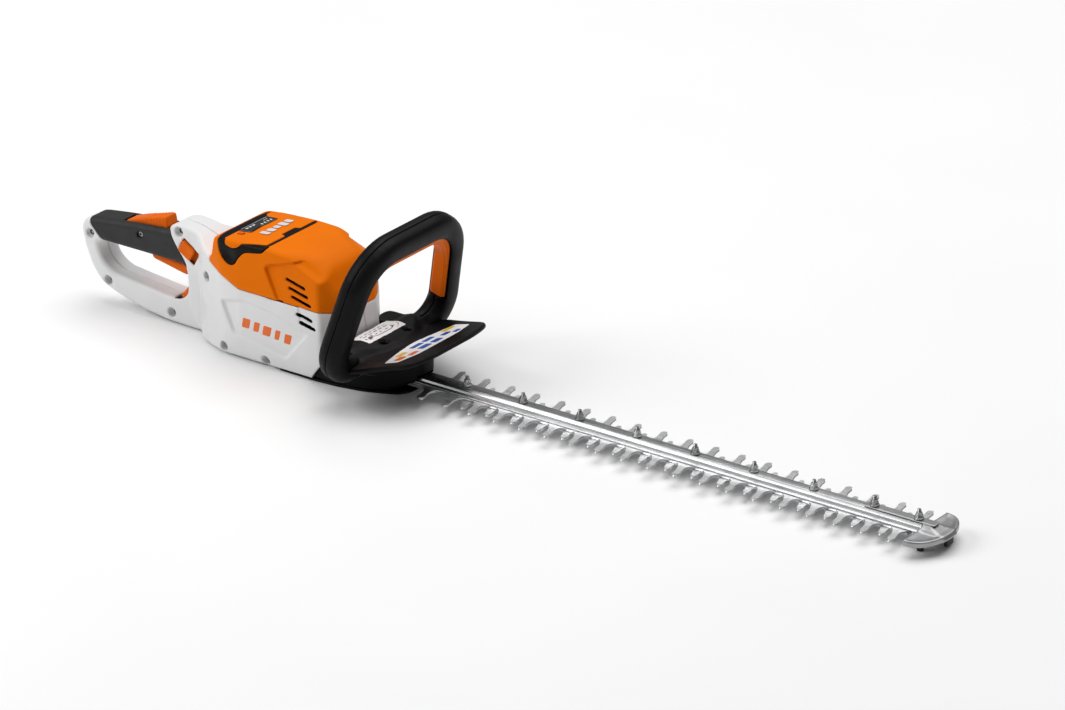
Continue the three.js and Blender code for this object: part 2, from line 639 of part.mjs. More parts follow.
function makeDrive() {
  const bore = circle(CRANK_R + GAP, 16);
  const wheel = planSlab(gearOutline(GEAR_TEETH, 0.15), GEAR_Z, GEAR_Z + GEAR_T, 0, [bore]);
  add("output_gear", wheel, finish.steel);
  const eccentric = (y, z) => rod(ECCENTRIC_R, 0, y, z, BLADE_T, 28);
  const crank = join(
    rod(CRANK_R, 0, 0, 3 + 2 * GAP, 36, 16),
    eccentric(STROKE, UPPER_Z),
    eccentric(-STROKE, LOWER_Z),
    rod(8, 0, 0, UPPER_Z + BLADE_T, GEAR_Z - GAP - UPPER_Z - BLADE_T, 16),
  );
  add("crank_shaft", crank, finish.steel);
  const race = CRANK_R + GAP;
  const ring = (z) => turned([[race, z], [BEARING_R, z], [BEARING_R, z + 5], [race, z + 5]], 20);
  add("lower_bearing", ring(3 + GAP), finish.steel);
  add("upper_bearing", ring(32), finish.steel);

  const motor = new THREE.Group();
  motor.position.x = MOTOR_X;
  const phase = Math.PI / PINION_TEETH;
  const turnPinion = new THREE.Matrix4().makeRotationZ(phase);
  const pinion = prismGeometry(gearOutline(PINION_TEETH, 0.15), 7).applyMatrix4(turnPinion);
  const shaft = rod(2.5, 0, 0, 20, 66, 12);
  const core = solid(turned([[0, 52], [13.4, 52], [13.4, 72], [0, 72]], 20));
  add("motor_rotor", join(solid(pinion.translate(0, 0, 16.5)), shaft, core), finish.steel, motor);
  add("motor_stator", turned([[14, 50], [MOTOR_R, 50], [MOTOR_R, 74], [14, 74]], 24), finish.copper, motor);
  const blades = Array.from({ length: 7 }, (_, i) => {
    const blade = new THREE.BoxGeometry(13, 1.4, 7).translate(12.5, 0, 80.4);
    return solid(blade.rotateZ((2 * Math.PI * i) / 7));
  });
  const disc = rod(19.5, 0, 0, 76, 1.6, 24);
  const fan = cut(join(disc, rod(7, 0, 0, 76, 7, 12), ...blades), rod(2.5 + GAP, 0, 0, 70, 20, 12));
  add("cooling_fan", fan, finish.black, motor);
  trimmer.add(motor);
}

function makeGearCase() {
  const [low, high] = GEAR_CASE_Z;
  const body = planSlab(GEAR_CASE_PLAN, low, high);
  const cavity = planSlab(inset(GEAR_CASE_PLAN, 3), 0, high - 3);
  const bossRing = cut(rod(BEARING_R + 3, 0, 0, 31, 12, 20), rod(BEARING_R + GAP, 0, 0, 20, 17 + GAP, 20));
  const exit = block(70, 90, -14, 14, 0, RAIL_TOP + 1);
  const motorBore = rod(4, MOTOR_X, 0, 30, 30, 12);
  const crankBore = rod(CRANK_R + GAP, 0, 0, 30, 10, 16);
  const walls = join(cut(body, cavity), bossRing);
  add("gear_housing", cut(walls, exit, motorBore, crankBore), finish.black);
  const seat = cut(rod(BEARING_R + 3, 0, 0, 2, 6, 20), rod(BEARING_R + GAP, 0, 0, 3, 10, 20));
  add("bottom_cover", join(planSlab(BOTTOM_PLAN, 0, 3), seat), finish.black);
}

function makeElectrics() {
  const board = block(-76, -74, -34, 34, 34, 98);
  const sink = block(-74.1, -69, -24, 10, 60, 90);
  const capacitor = block(-74.1, -64, 14, 28, 44, 66);
  add("control_board", join(board, sink, capacitor), finish.green);
  const tray = block(-141, -89, -37, 37, 28, 38);
  const contacts = [-12, -4, 4, 12].map((y) => block(-100, -92, y - 0.8, y + 0.8, 37, 44));
  add("battery_terminal", join(tray, ...contacts), finish.black);
  const spring = coilSpring(6, 0.9, 8.6, 3).translate(-122, 0, 38 + GAP);
  add("battery_spring", spring, finish.steel);
}

// ---------------------------------------------------------------- blades, rail and tip
// A tooth on the right: distance along the blade from its tip, and from the centre line.
const LONG_TOOTH = [
  [-14.5, SPINE], [-10, 14], [-6.4, 18.5], [-4.4, 24], [-3, 29], [-2.9, 33], [-1.6, 36.9],
  [1.3, 36.9], [2.7, 34.5], [2.2, 31], [1, 27], [0.2, 22], [0.2, 17.5], [2.2, 14], [6.5, SPINE],
];
const SHORT_TOOTH = [
  [-8.5, SPINE], [-6, 14.5], [-3.9, 19], [-2.4, 24], [-1.4, 26.6],
  [1.2, 26.6], [2, 24], [1.2, 18], [1, 14], [2, SPINE],
];

// A slot for a bolt's shank, long enough for the blade's stroke, with tapered ends.
function boltSlot(x) {
  const reach = STROKE + GAP;
  const end = reach + 2.3;
  const half = [[-end, 1], [-reach, 2.5], [reach, 2.5], [end, 1]];
  return mirrored(half).map(([a, b]) => [x + a, b]);
}

// The opening round an eccentric: two half circles, STROKE apart from the centre line.
function yokeOutline() {
  const radius = ECCENTRIC_R + 0.8;
  return [[1, 0], [-1, Math.PI]].flatMap(([side, start]) =>
    Array.from({ length: 9 }, (_, i) => {
      const angle = start + (Math.PI * i) / 8;
      return [radius * Math.cos(angle), side * STROKE + radius * Math.sin(angle)];
    }),
  );
}

// A blade plate: a yoke round the eccentric, and a spine with a row of teeth on both sides.
// The teeth on the left lean the other way.
function bladePlate(z, places, tooth) {
  const yoke = [[-18, 8], [-18, 26], [-14, 30], [18, 30], [22, 26], [26, SPINE]];
  const onBlade = ([x]) => x <= BLADE_END;
  const right = places.flatMap((x) => tooth.map(([along, out]) => [x + along, -out]));
  const left = places.flatMap((x) => tooth.map(([along, out]) => [x - along, out]).reverse());
  const outline = [
    ...yoke,
    ...left.filter(onBlade),
    [BLADE_END, SPINE],
    [BLADE_END, -SPINE],
    ...right.filter(onBlade).reverse(),
    ...yoke.map(([x, y]) => [x, -y]).reverse(),
  ];
  const slots = BOLT_X.slice(0, -1).map(boltSlot);
  const plate = planSlab(outline, z, z + BLADE_T, 0, [yokeOutline(), ...slots]);
  const forkX = BOLT_X[8] - STROKE - 2.8;
  return cut(plate, block(forkX, BLADE_END + 5, -2.5, 2.5, z - 1, z + BLADE_T + 1));
}

// Centres of a row of teeth.
const toothPlaces = (first, count) => Array.from({ length: count }, (_, i) => first + PITCH * i);

function makeBlades() {
  const longPlaces = toothPlaces(FIRST_TOOTH, LONG_TEETH);
  const shortPlaces = toothPlaces(FIRST_TOOTH + SHORT_OFFSET, SHORT_TEETH);
  add("upper_blade", bladePlate(UPPER_Z, longPlaces, LONG_TOOTH), finish.steel);
  add("lower_blade", bladePlate(LOWER_Z, shortPlaces, SHORT_TOOTH), finish.steel);
}

// Half of the rail's cross-section, from its underside up: a flange, then a bevelled crown.
const RAIL_FLANK = [
  [SPINE, RAIL_Z], [SPINE, RAIL_Z + 1.3], [9.2, RAIL_Z + 1.6], [9, 16.6], [4.7, RAIL_TOP],
];

// Half outline [y, z] and its mirror image, as one closed outline.
const mirroredAcross = (half) => half.concat(half.slice().reverse().map(([y, z]) => [-y, z]));

function makeRail() {
  const bores = BOLT_X.map((x) => rod(STUD_R + GAP, x, 0, 0, 40, 10));
  const bar = frontSlab(mirroredAcross(RAIL_FLANK), RAIL_START, RAIL_END);
  add("guide_rail", cut(bar, ...bores), finish.aluminium);
}

function makeBolts() {
  BOLT_X.forEach((x, i) => {
    const seat = i >= TANG_BOLT ? TANG_T + GAP : 0;
    const head = [[0, 5.6], [4.2, 5.6], [5, 6.6], [5, LOWER_Z - GAP], [STUD_R, LOWER_Z - GAP]];
    const bolt = turned([...head, [STUD_R, STUD_TOP + seat], [0, STUD_TOP + seat]], 10);
    add(`blade_bolt_${i + 1}`, bolt.translate(x, 0, 0), finish.zinc);
    const low = RAIL_TOP + GAP + seat;
    const bore = STUD_R + GAP;
    const flange = [[bore, low], [4.75, low], [4.75, low + 1.4]];
    const collar = [[3.9, low + 1.9], [3.9, low + 6.2], [bore, low + 6.6]];
    const nut = turned([...flange, ...collar], 10);
    add(`blade_nut_${i + 1}`, nut.translate(x, 0, 0), finish.zinc);
  });
}

// The tip's rim in X and Y: a flattened half circle.
function tipRim() {
  return Array.from({ length: 15 }, (_, i) => {
    const angle = -Math.PI / 2 + (Math.PI * i) / 14;
    const bow = Math.cos(angle) ** 0.8;
    return [TIP_BACK + (TIP_FRONT - TIP_BACK) * bow, TIP_HALF * Math.sin(angle)];
  });
}

// The tang that the last two bolts clamp on the rail, and the ridge that runs down from it.
function tipTang(deck) {
  const low = RAIL_TOP + GAP;
  const high = low + TANG_T;
  const strap = block(BOLT_X[TANG_BOLT] - 9, TIP_BACK + 8, -TANG_HALF, TANG_HALF, low, high);
  const ridge = [
    [TIP_BACK + 2, deck], [TIP_FRONT - 6, deck + 1], [TIP_BACK + 10, high], [TIP_BACK + 2, high],
  ];
  return join(strap, sideSlab(ridge, -TANG_HALF, TANG_HALF));
}

function makeTip() {
  const rim = tipRim();
  const deck = UPPER_Z + BLADE_T + 0.7;
  const rear = [[TIP_BACK - 6, -33], [TIP_BACK - 6, 33]];
  const plate = planSlab([rear[0], ...rim, rear[1]], deck, deck + 3);
  const wall = cut(planSlab(rim, LIP_LOW, deck + 1), planSlab(inset(rim, 2.8), 0, deck + 0.5));
  const railHalf = [[12, RAIL_Z - 1], [12, 16.5], [8.8, 17], [8.8, RAIL_TOP + GAP]];
  const channel = frontSlab(mirroredAcross(railHalf), 640, RAIL_END + GAP);
  const bores = BOLT_X.slice(TANG_BOLT).map((x) => rod(STUD_R + GAP, x, 0, 10, 20, 10));
  add("tip_guard", cut(join(plate, wall, tipTang(deck)), channel, ...bores), finish.aluminium);
  const scaled = (along, over) => rim.map(([x, y]) => [TIP_BACK + (x - TIP_BACK) * along, y * over]);
  const skid = cut(planSlab(scaled(0.84, 0.52), 0, SKID_TOP), planSlab(scaled(0.62, 0.3), -1, 12));
  const rearCut = block(640, TIP_BACK + 4, -40, 40, -1, 12);
  const betweenFeet = block(TIP_BACK + 10, TIP_BACK + 20, -40, 40, -1, SKID_TOP - 3);
  add("tip_skid", cut(skid, rearCut, betweenFeet), finish.rubber);
}

makeHousing();
makeGrip();
makeControls();
makeLoop();
makeGuard();
makeGearCase();
makeDrive();
makeElectrics();
makeBattery();
makeRail();
makeBlades();
makeBolts();
makeTip();

export default trimmer;
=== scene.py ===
import functools
import math

import bmesh
import bpy
import numpy as np
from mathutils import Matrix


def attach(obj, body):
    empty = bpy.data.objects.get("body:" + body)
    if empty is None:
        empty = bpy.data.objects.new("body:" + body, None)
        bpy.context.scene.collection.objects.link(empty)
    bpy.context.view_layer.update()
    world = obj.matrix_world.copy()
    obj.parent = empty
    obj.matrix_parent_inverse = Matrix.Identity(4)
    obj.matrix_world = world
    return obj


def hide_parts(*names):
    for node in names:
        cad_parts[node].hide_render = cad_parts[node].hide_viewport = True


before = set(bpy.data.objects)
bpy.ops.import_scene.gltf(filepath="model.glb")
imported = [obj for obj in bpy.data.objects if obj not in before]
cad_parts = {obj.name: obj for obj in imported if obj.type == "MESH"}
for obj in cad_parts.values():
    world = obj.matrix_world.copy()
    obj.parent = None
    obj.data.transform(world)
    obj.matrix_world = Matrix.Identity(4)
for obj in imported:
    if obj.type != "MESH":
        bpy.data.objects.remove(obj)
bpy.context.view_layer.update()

import openvdb
from mathutils import Matrix, Vector

MM = 0.001

# ---- outlines, in millimetres
def mirrored(half):
    """An outline given on one side of the long axis, closed by its mirror image."""
    return half + [(a, -b) for a, b in reversed(half)]


BODY_SIDE = [
    (-186, 1), (8, 1), (8, 46), (3, 73), (-15, 116), (-27, 122.5), (-50, 127.5), (-84, 129.5),
    (-151.5, 124), (-158, 96), (-170, 101), (-183, 107), (-193, 110), (-208, 112.5),
    (-218, 111.5), (-227, 107), (-227, 101), (-217, 85.5), (-206, 72), (-204, 58), (-203.5, 30),
]
BODY_PLAN = mirrored([
    (-230, 17), (-206, 18), (-188, 19.5), (-174, 31), (-158, 38), (-140, 45), (-114, 50),
    (-14, 50), (3, 24), (12, 22),
])
BODY_SECTION = [(b, a) for a, b in mirrored([
    (0, 43), (10, 46.5), (30, 49.5), (78, 50), (100, 48), (130, 45.5),
])]
HANDLE_OUTER = [
    (-180, 0.6), (-232, 1.5), (-262, 5.5), (-295, 13), (-319.5, 22), (-333, 39.5), (-340, 58),
    (-344.5, 76), (-342, 85.5), (-332, 91), (-294, 96), (-240, 101), (-190, 103),
    (-184, 60), (-180, 30),
]
HAND_OPENING = [
    (-321.5, 69), (-211, 69), (-205.5, 62), (-204.5, 47), (-208, 37), (-217, 31), (-234, 30.5),
    (-269, 34), (-302, 37.5), (-315, 46), (-321.5, 59),
]
GRIP_REGION = [
    (-341, 112), (-338, 97), (-329, 83), (-317, 71), (-310, 60), (-240, 60), (-210, 60),
    (-206, 66), (-206, 72), (-217, 85.5), (-227, 101), (-232, 115),
]
HOOD_REGION = [
    (-166, 104), (-158, 93), (-114, 78), (-14, 77), (3, 72.8), (30, 66), (30, 140), (-166, 140),
]
FLANK_PANEL = [
    (-142, 60.7), (-108, 69.3), (-73.5, 65.3), (-25.5, 51), (-57, 14.5), (-124.5, 26.7),
]
VENT_PANEL = [
    (-41, 77), (-38, 60), (-4, 51), (14, 50), (14, 121), (-26, 124.5), (-46, 122.5), (-79, 113),
    (-83, 108), (-66, 77),
]
GEAR_CASE_PLAN = mirrored([
    (-46, 34), (-27, 34), (-27, 43), (0, 42), (30, 36), (63, 22), (78, 15), (83, 9),
])
BOTTOM_PLAN = mirrored([(-72, 42), (-27, 43), (0, 41), (30, 35), (62, 21), (69, 8)])
LOOP_GAP_SIDE = [(-27.6, -5), (-27.6, 4), (-8, 28), (-8, 45), (20, 45), (20, -5)]
BATTERY_RIM = mirrored([(-32.5, 28), (-29, 39), (-24, 42.5), (26, 42.5), (32.5, 40)])
BATTERY_PANEL = [
    (-21, -41.6), (-21, 28), (-26, 31), (-26, 42.2), (28.8, 42.2), (29, 16), (23.5, 15), (23.5, -7),
    (29.2, -8), (29.5, -38), (4, -44), (-8, -44),
]
DISPLAY = [(-20, -19), (-6, -17.5), (-7.4, -1), (-6.8, 26), (-20.5, 25.5)]
# The battery comes through the near side of the hood inside this edge, in x and z.
CHEEK = [
    (-143, 145), (-143, 124), (-142, 113), (-136, 104), (-128, 100), (-120, 102), (-116, 110),
    (-108, 118), (-86, 122), (-79, 131), (-79, 145),
]
LID_LOBE = [
    (-136, 140), (-134, 126), (-132, 120), (-123, 118.5), (-116, 121), (-109, 128), (-106, 140),
]
GUARD_PLAN = mirrored([
    (30, 58), (36, 74), (50, 77.5), (72, 71.5), (90, 68), (104, 66), (111, 61), (115, 50),
    (118.5, 30),
])
SADDLE_PLAN = mirrored([(-8, 55.6), (52, 55.6), (62, 44), (68, 25), (68, 8)])
LATCH = [(-199, 47), (-204.5, 48.5), (-217, 33), (-213, 29.5), (-203, 34), (-199, 38)]
LATCH_WINDOW = [(-195, 50.5), (-206, 51), (-228, 36), (-220, 24), (-203, 27), (-195, 34)]
TRIGGER = [
    (-262, 71), (-258.5, 70), (-257.5, 63.5), (-255, 61.5), (-216, 54), (-211, 54.5), (-210, 62),
    (-214, 66), (-247, 67), (-252, 76), (-262, 76),
]
SAFETY_LEVER = [
    (-290, 90), (-279, 89.5), (-274, 93), (-258, 92.5), (-240, 90), (-234, 101), (-238, 112),
    (-275, 101), (-290, 95.5),
]
GAP = 0.3
WALL = 2.6
SEAM = 0.15
HANDLE_HALF = 16.5

# ---- distance fields
class Space:
    """A block of sample points in millimetres, with its place in the row frame."""

    def __init__(self, low, high, step, place=None):
        counts = [int(math.ceil((b - a) / step)) + 1 for a, b in zip(low, high)]
        x, y, z = (a + step * np.arange(n, dtype=np.float32) for a, n in zip(low, counts))
        self.x, self.y, self.z = x[:, None, None], y[None, :, None], z[None, None, :]
        self.side = np.abs(self.y)
        self.shape = tuple(counts)
        self.low, self.step = low, step
        self.place = place or Matrix.Identity(4)

    def in_row(self):
        """The same points in the row frame, for a place that only turns about Y."""
        other = Space.__new__(Space)
        m = self.place
        other.x = m[0][0] * self.x + m[0][2] * self.z + m[0][3]
        other.z = m[2][0] * self.x + m[2][2] * self.z + m[2][3]
        other.y, other.side = self.y, self.side
        return other


def flat(points, a, b):
    """Distance from an outline drawn in a and b, negative inside it."""
    best = np.full(np.broadcast(a, b).shape, 1e9, np.float32)
    inside = np.zeros(best.shape, bool)
    for (p, q), (r, t) in zip(points, points[1:] + points[:1]):
        da, db = r - p, t - q
        if da == 0 and db == 0:
            continue
        wa, wb = a - p, b - q
        h = np.clip((wa * da + wb * db) / (da * da + db * db), 0, 1)
        best = np.minimum(best, (wa - h * da) ** 2 + (wb - h * db) ** 2)
        if db != 0:
            inside ^= ((b >= q) != (b >= t)) & ((wa * db - wb * da) * math.copysign(1, db) < 0)
    return (np.where(inside, -1, 1) * np.sqrt(best)).astype(np.float32)


def profile(s, points, cut=0):
    """Distance from an outline seen from the side, its corners rounded by cut."""
    return flat(soft(points, cut) if cut else points, s.x, s.z)


def footprint(s, points, cut=0):
    """Distance from an outline seen from above, its corners rounded by cut."""
    return flat(soft(points, cut) if cut else points, s.x, s.y)


def near(points, a, b):
    """Distance from an open line drawn in a and b."""
    best = np.full(np.broadcast(a, b).shape, 1e9, np.float32)
    for (p, q), (r, t) in zip(points, points[1:]):
        da, db = r - p, t - q
        wa, wb = a - p, b - q
        h = np.clip((wa * da + wb * db) / (da * da + db * db), 0, 1)
        best = np.minimum(best, (wa - h * da) ** 2 + (wb - h * db) ** 2)
    return np.sqrt(best)


def both(a, b, r=0.0):
    """What lies in a and in b, with the edge between them rounded by r."""
    if r == 0:
        return np.maximum(a, b)
    corner = np.hypot(np.maximum(r + a, 0), np.maximum(r + b, 0))
    return np.minimum(-r, np.maximum(a, b)) + corner


def either(a, b, r=0.0):
    """What lies in a or in b, with the corner between them filled by r."""
    return -both(-a, -b, r)


def minus(a, b, r=0.0):
    return both(a, -b, r)


def span(value, low, high):
    return np.abs(value - (low + high) / 2) - (high - low) / 2


def union(fields):
    """What lies in any of the fields."""
    return functools.reduce(np.minimum, fields)


def step_up(value, width):
    """0 below zero and 1 above width, with a smooth rise between."""
    t = np.clip(value / width, 0, 1)
    return t * t * (3 - 2 * t)


def soft(points, cut, steps=5):
    """An outline with each corner turned into a curve that starts cut away from it."""
    out = []
    for i, point in enumerate(points):
        p = Vector(point)
        before, after = Vector(points[i - 1]) - p, Vector(points[(i + 1) % len(points)]) - p
        if before.length < 1e-6 or after.length < 1e-6:
            continue
        start = p + before.normalized() * min(cut, before.length * 0.48)
        end = p + after.normalized() * min(cut, after.length * 0.48)
        for k in range(steps + 1):
            t = k / steps
            out.append(tuple(start * (1 - t) ** 2 + p * 2 * t * (1 - t) + end * t * t))
    return out


def turned_axes(a, b, centre, angle):
    """Coordinates along and across a direction that rises by angle from the a axis."""
    da, db = a - centre[0], b - centre[1]
    return da * math.cos(angle) + db * math.sin(angle), db * math.cos(angle) - da * math.sin(angle)


# ---- meshes from fields
def new_object(name, mesh, look, body="chassis", nodes=()):
    """A piece with a look's material, on a body. The look's slot name is not used."""
    slot, material = look
    obj = bpy.data.objects.new(name, mesh)
    bpy.context.scene.collection.objects.link(obj)
    mesh.materials.append(material)
    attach(obj, body)
    if nodes:
        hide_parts(*nodes)


def mesh_from(name, points, faces, sharp=None):
    mesh = bpy.data.meshes.new(name)
    mesh.from_pydata(points, [], faces)
    mesh.validate()
    mesh.shade_smooth()
    if sharp:
        mesh.set_sharp_from_angle(angle=math.radians(sharp))
    mesh.update()
    return mesh


def band(i, j, n):
    """The quads between ring i and ring j of n points each."""
    return [[i * n + k, i * n + (k + 1) % n, j * n + (k + 1) % n, j * n + k] for k in range(n)]


def cleaned(mesh, angle, merge=0.0, dissolve=False):
    """The mesh with faces turned outwards, and edges sharp above an angle in degrees."""
    shape = bmesh.new()
    shape.from_mesh(mesh)
    if merge:
        bmesh.ops.remove_doubles(shape, verts=shape.verts, dist=merge)
    if dissolve:
        bmesh.ops.dissolve_degenerate(shape, edges=shape.edges, dist=merge)
    bmesh.ops.recalc_face_normals(shape, faces=shape.faces)
    shape.to_mesh(mesh)
    shape.free()
    mesh.shade_smooth()
    mesh.set_sharp_from_angle(angle=math.radians(angle))
    return mesh


def field_mesh(name, space, field, calm):
    """The surface where the field is zero, as a mesh of quads in metres."""
    samples = np.ascontiguousarray(np.broadcast_to(field, space.shape), np.float32)
    edge = np.pad(samples[1:-1, 1:-1, 1:-1], 1, constant_values=space.step)
    grid = openvdb.FloatGrid(background=space.step)
    grid.copyFromArray(edge)
    points, triangles, quads = grid.convertToPolygons(isovalue=0.0, adaptivity=0.0)
    points = points.astype(float)
    faces = quads.astype(int)
    for _ in range(calm):
        points = relaxed(points, faces)
    points = points * space.step + np.array(space.low)
    turn = np.array(space.place)
    points = (points @ turn[:3, :3].T + turn[:3, 3]) * MM
    a, b, c, d = (points[faces[:, i]] for i in range(4))
    volume = sum(np.einsum("ij,ij->i", a, np.cross(p, q)).sum() for p, q in ((b, c), (c, d)))
    if volume < 0:
        faces = faces[:, ::-1]
    return mesh_from(name, points.tolist(), faces.tolist() + triangles.astype(int).tolist())


def relaxed(points, faces):
    """Each point moved half-way to the middle of its neighbours."""
    total = np.zeros_like(points)
    count = np.zeros(len(points))
    for i in range(4):
        here, after = faces[:, i], faces[:, (i + 1) % 4]
        for axis in range(3):
            total[:, axis] += np.bincount(here, points[after, axis], len(points))
            total[:, axis] += np.bincount(after, points[here, axis], len(points))
        for end in (here, after):
            count += np.bincount(end, minlength=len(points))
    return points * 0.5 + total / count[:, None] * 0.5


def carve(name, space, field, look, body="chassis", nodes=(), calm=1):
    new_object(name, field_mesh(name, space, field, calm), look, body, nodes)


# ---- materials
def material_base(name, metallic=0.0, **sockets):
    material = bpy.data.materials.new(name)
    material.use_nodes = True
    tree = material.node_tree
    shader = tree.nodes["Principled BSDF"]
    shader.inputs["Metallic"].default_value = metallic
    for socket, value in sockets.items():
        shader.inputs[socket.replace("_", " ")].default_value = value
    place = tree.nodes.new("ShaderNodeTexCoord")
    return material, tree, shader, place.outputs["Object"]


def noise(tree, vector, scale, detail=3.0, stretch=None, roughness=0.55):
    if stretch:
        mapping = tree.nodes.new("ShaderNodeMapping")
        mapping.inputs["Scale"].default_value = stretch
        tree.links.new(vector, mapping.inputs["Vector"])
        vector = mapping.outputs["Vector"]
    node = tree.nodes.new("ShaderNodeTexNoise")
    node.inputs["Scale"].default_value = scale
    node.inputs["Detail"].default_value = detail
    node.inputs["Roughness"].default_value = roughness
    tree.links.new(vector, node.inputs["Vector"])
    return node.outputs["Fac"]


def cells(tree, vector, scale):
    node = tree.nodes.new("ShaderNodeTexVoronoi")
    node.inputs["Scale"].default_value = scale
    tree.links.new(vector, node.inputs["Vector"])
    return node.outputs["Distance"]


def spread(tree, value, low, high, at=(0.3, 0.7)):
    node = tree.nodes.new("ShaderNodeMapRange")
    node.inputs["From Min"].default_value, node.inputs["From Max"].default_value = at
    node.inputs["To Min"].default_value, node.inputs["To Max"].default_value = low, high
    tree.links.new(value, node.inputs["Value"])
    return node.outputs["Result"]


def shade(tree, value, dark, light, at=(0.3, 0.7)):
    node = tree.nodes.new("ShaderNodeValToRGB")
    ramp = node.color_ramp.elements
    ramp[0].position, ramp[1].position = at
    ramp[0].color, ramp[1].color = (*dark, 1), (*light, 1)
    tree.links.new(value, node.inputs["Fac"])
    return node.outputs["Color"]


def worn(tree, colour, wear, strength):
    """Lightens the colour along exposed edges, where handling has rubbed it."""
    geometry = tree.nodes.new("ShaderNodeNewGeometry")
    edge = spread(tree, geometry.outputs["Pointiness"], 0.0, strength, at=(0.53, 0.62))
    mix = tree.nodes.new("ShaderNodeMix")
    mix.data_type = "RGBA"
    tree.links.new(edge, mix.inputs["Factor"])
    tree.links.new(colour, mix.inputs["A"])
    mix.inputs["B"].default_value = (*wear, 1)
    return mix.outputs["Result"]


def wired(tree, shader, paint, gloss, layers):
    """Links colour and roughness, and stacks bump layers, each a (height, strength, distance)."""
    tree.links.new(paint, shader.inputs["Base Color"])
    tree.links.new(gloss, shader.inputs["Roughness"])
    normal = None
    for height, strength, distance in layers:
        bump = tree.nodes.new("ShaderNodeBump")
        bump.inputs["Strength"].default_value = strength
        bump.inputs["Distance"].default_value = distance
        tree.links.new(height, bump.inputs["Height"])
        if normal:
            tree.links.new(normal, bump.inputs["Normal"])
        normal = bump.outputs["Normal"]
    tree.links.new(normal, shader.inputs["Normal"])


def moulded(name, colour, rough, grain, depth, wear, edge, **sockets):
    """Moulded plastic: spark-eroded grain, slight flow marks, and rubbed edges."""
    material, tree, shader, place = material_base(name, **sockets)
    flow = noise(tree, place, 22, 4)
    dark = tuple(c * 0.94 for c in colour)
    tone = shade(tree, flow, dark, colour)
    paint = worn(tree, tone, wear, edge)
    smear = noise(tree, place, 60, 5)
    gloss = spread(tree, smear, rough - 0.05, rough + 0.07)
    wired(tree, shader, paint, gloss, [
        (cells(tree, place, grain), depth, 0.00006),
        (noise(tree, place, 380, 2), 0.08, 0.0001),
    ])
    return material


def brushed(name, dark, light, rough, along=(14, 900, 900), depth=0.12):
    """Ground metal: fine scratches in one direction, faint stains, and brighter edges."""
    material, tree, shader, place = material_base(name, metallic=1.0)
    lines = noise(tree, place, 1.0, 6, stretch=along, roughness=0.7)
    cloud = noise(tree, place, 35, 4)
    tone = shade(tree, cloud, dark, light)
    paint = worn(tree, tone, (0.95, 0.95, 0.95), 0.35)
    gloss = spread(tree, lines, rough - 0.08, rough + 0.12)
    wired(tree, shader, paint, gloss, [(lines, depth, 0.00008)])
    return material


def cast(name, dark, light, rough):
    """Bead-blasted aluminium."""
    material, tree, shader, place = material_base(name, metallic=1.0)
    tone = shade(tree, noise(tree, place, 70, 5), dark, light)
    paint = worn(tree, tone, (0.95, 0.95, 0.95), 0.3)
    grit = noise(tree, place, 1400, 3)
    gloss = spread(tree, grit, rough - 0.06, rough + 0.08)
    pits = noise(tree, place, 160, 3)
    wired(tree, shader, paint, gloss, [(grit, 0.25, 0.00008), (pits, 0.06, 0.0002)])
    return material


def rubber(name, colour, rough):
    """Soft overmoulding with a fine dimpled grain."""
    material, tree, shader, place = material_base(name, Sheen_Weight=0.05, Sheen_Roughness=0.5)
    tone = shade(tree, noise(tree, place, 45, 4), tuple(c * 0.8 for c in colour), colour)
    paint = worn(tree, tone, (0.16, 0.16, 0.16), 0.3)
    smear = noise(tree, place, 90, 4)
    gloss = spread(tree, smear, rough - 0.06, rough + 0.06)
    wired(tree, shader, paint, gloss, [
        (cells(tree, place, 1100), 0.3, 0.0001),
        (noise(tree, place, 420, 2), 0.1, 0.0001),
    ])
    return material


def windings(name):
    """Laminated core and enamelled copper, in thin layers up the motor."""
    material, tree, shader, place = material_base(name, metallic=1.0)
    layers = noise(tree, place, 1.0, 2, stretch=(60, 60, 1600))
    paint = shade(tree, layers, (0.2, 0.19, 0.18), (0.62, 0.3, 0.14))
    gloss = spread(tree, layers, 0.3, 0.55)
    wired(tree, shader, paint, gloss, [(layers, 0.3, 0.0002)])
    return material


WHITE = ("white_housing", moulded(
    "white housing", (0.81, 0.815, 0.82), 0.42, 1300, 0.10, (0.93, 0.93, 0.93), 0.25))
ORANGE = ("orange_cover", moulded(
    "orange cover", (0.86, 0.182, 0.0006), 0.42, 1500, 0.09, (0.90, 0.26, 0.02), 0.2,
    Specular_IOR_Level=0.04))
CONTROL = ("orange_controls", moulded(
    "orange controls", (0.80, 0.135, 0.002), 0.42, 1500, 0.12, (0.90, 0.22, 0.02), 0.2,
    Specular_IOR_Level=0.1))
BLACK = ("black_plastic", moulded(
    "black plastic", (0.0028, 0.0030, 0.0034), 0.46, 1200, 0.16, (0.03, 0.03, 0.032), 0.22,
    Specular_IOR_Level=0.12))
GRIP = ("grip_rubber", rubber("grip rubber", (0.0052, 0.0055, 0.0062), 0.6))
GLOSS = ("display", moulded(
    "display window", (0.004, 0.004, 0.005), 0.09, 600, 0.0, (0.02, 0.02, 0.02), 0.1,
    Coat_Weight=0.6, Coat_Roughness=0.03))
STEEL = ("blade_steel", brushed("blade steel", (0.60, 0.605, 0.61), (0.78, 0.785, 0.79), 0.32))
ALUMINIUM = ("rail_aluminium", brushed(
    "rail aluminium", (0.44, 0.444, 0.45), (0.58, 0.584, 0.59), 0.26))
CASTING = ("cast_aluminium", cast("cast aluminium", (0.31, 0.31, 0.315), (0.40, 0.40, 0.405), 0.40))
# The screw heads in the pockets are painted dark: painted shade standing in for the shadow inside
# their pockets.
SCREW = ("zinc_steel", brushed(
    "screw dark as painted pocket shade", (0.05, 0.05, 0.052), (0.16, 0.16, 0.165), 0.34, (700, 700, 60), 0.2))
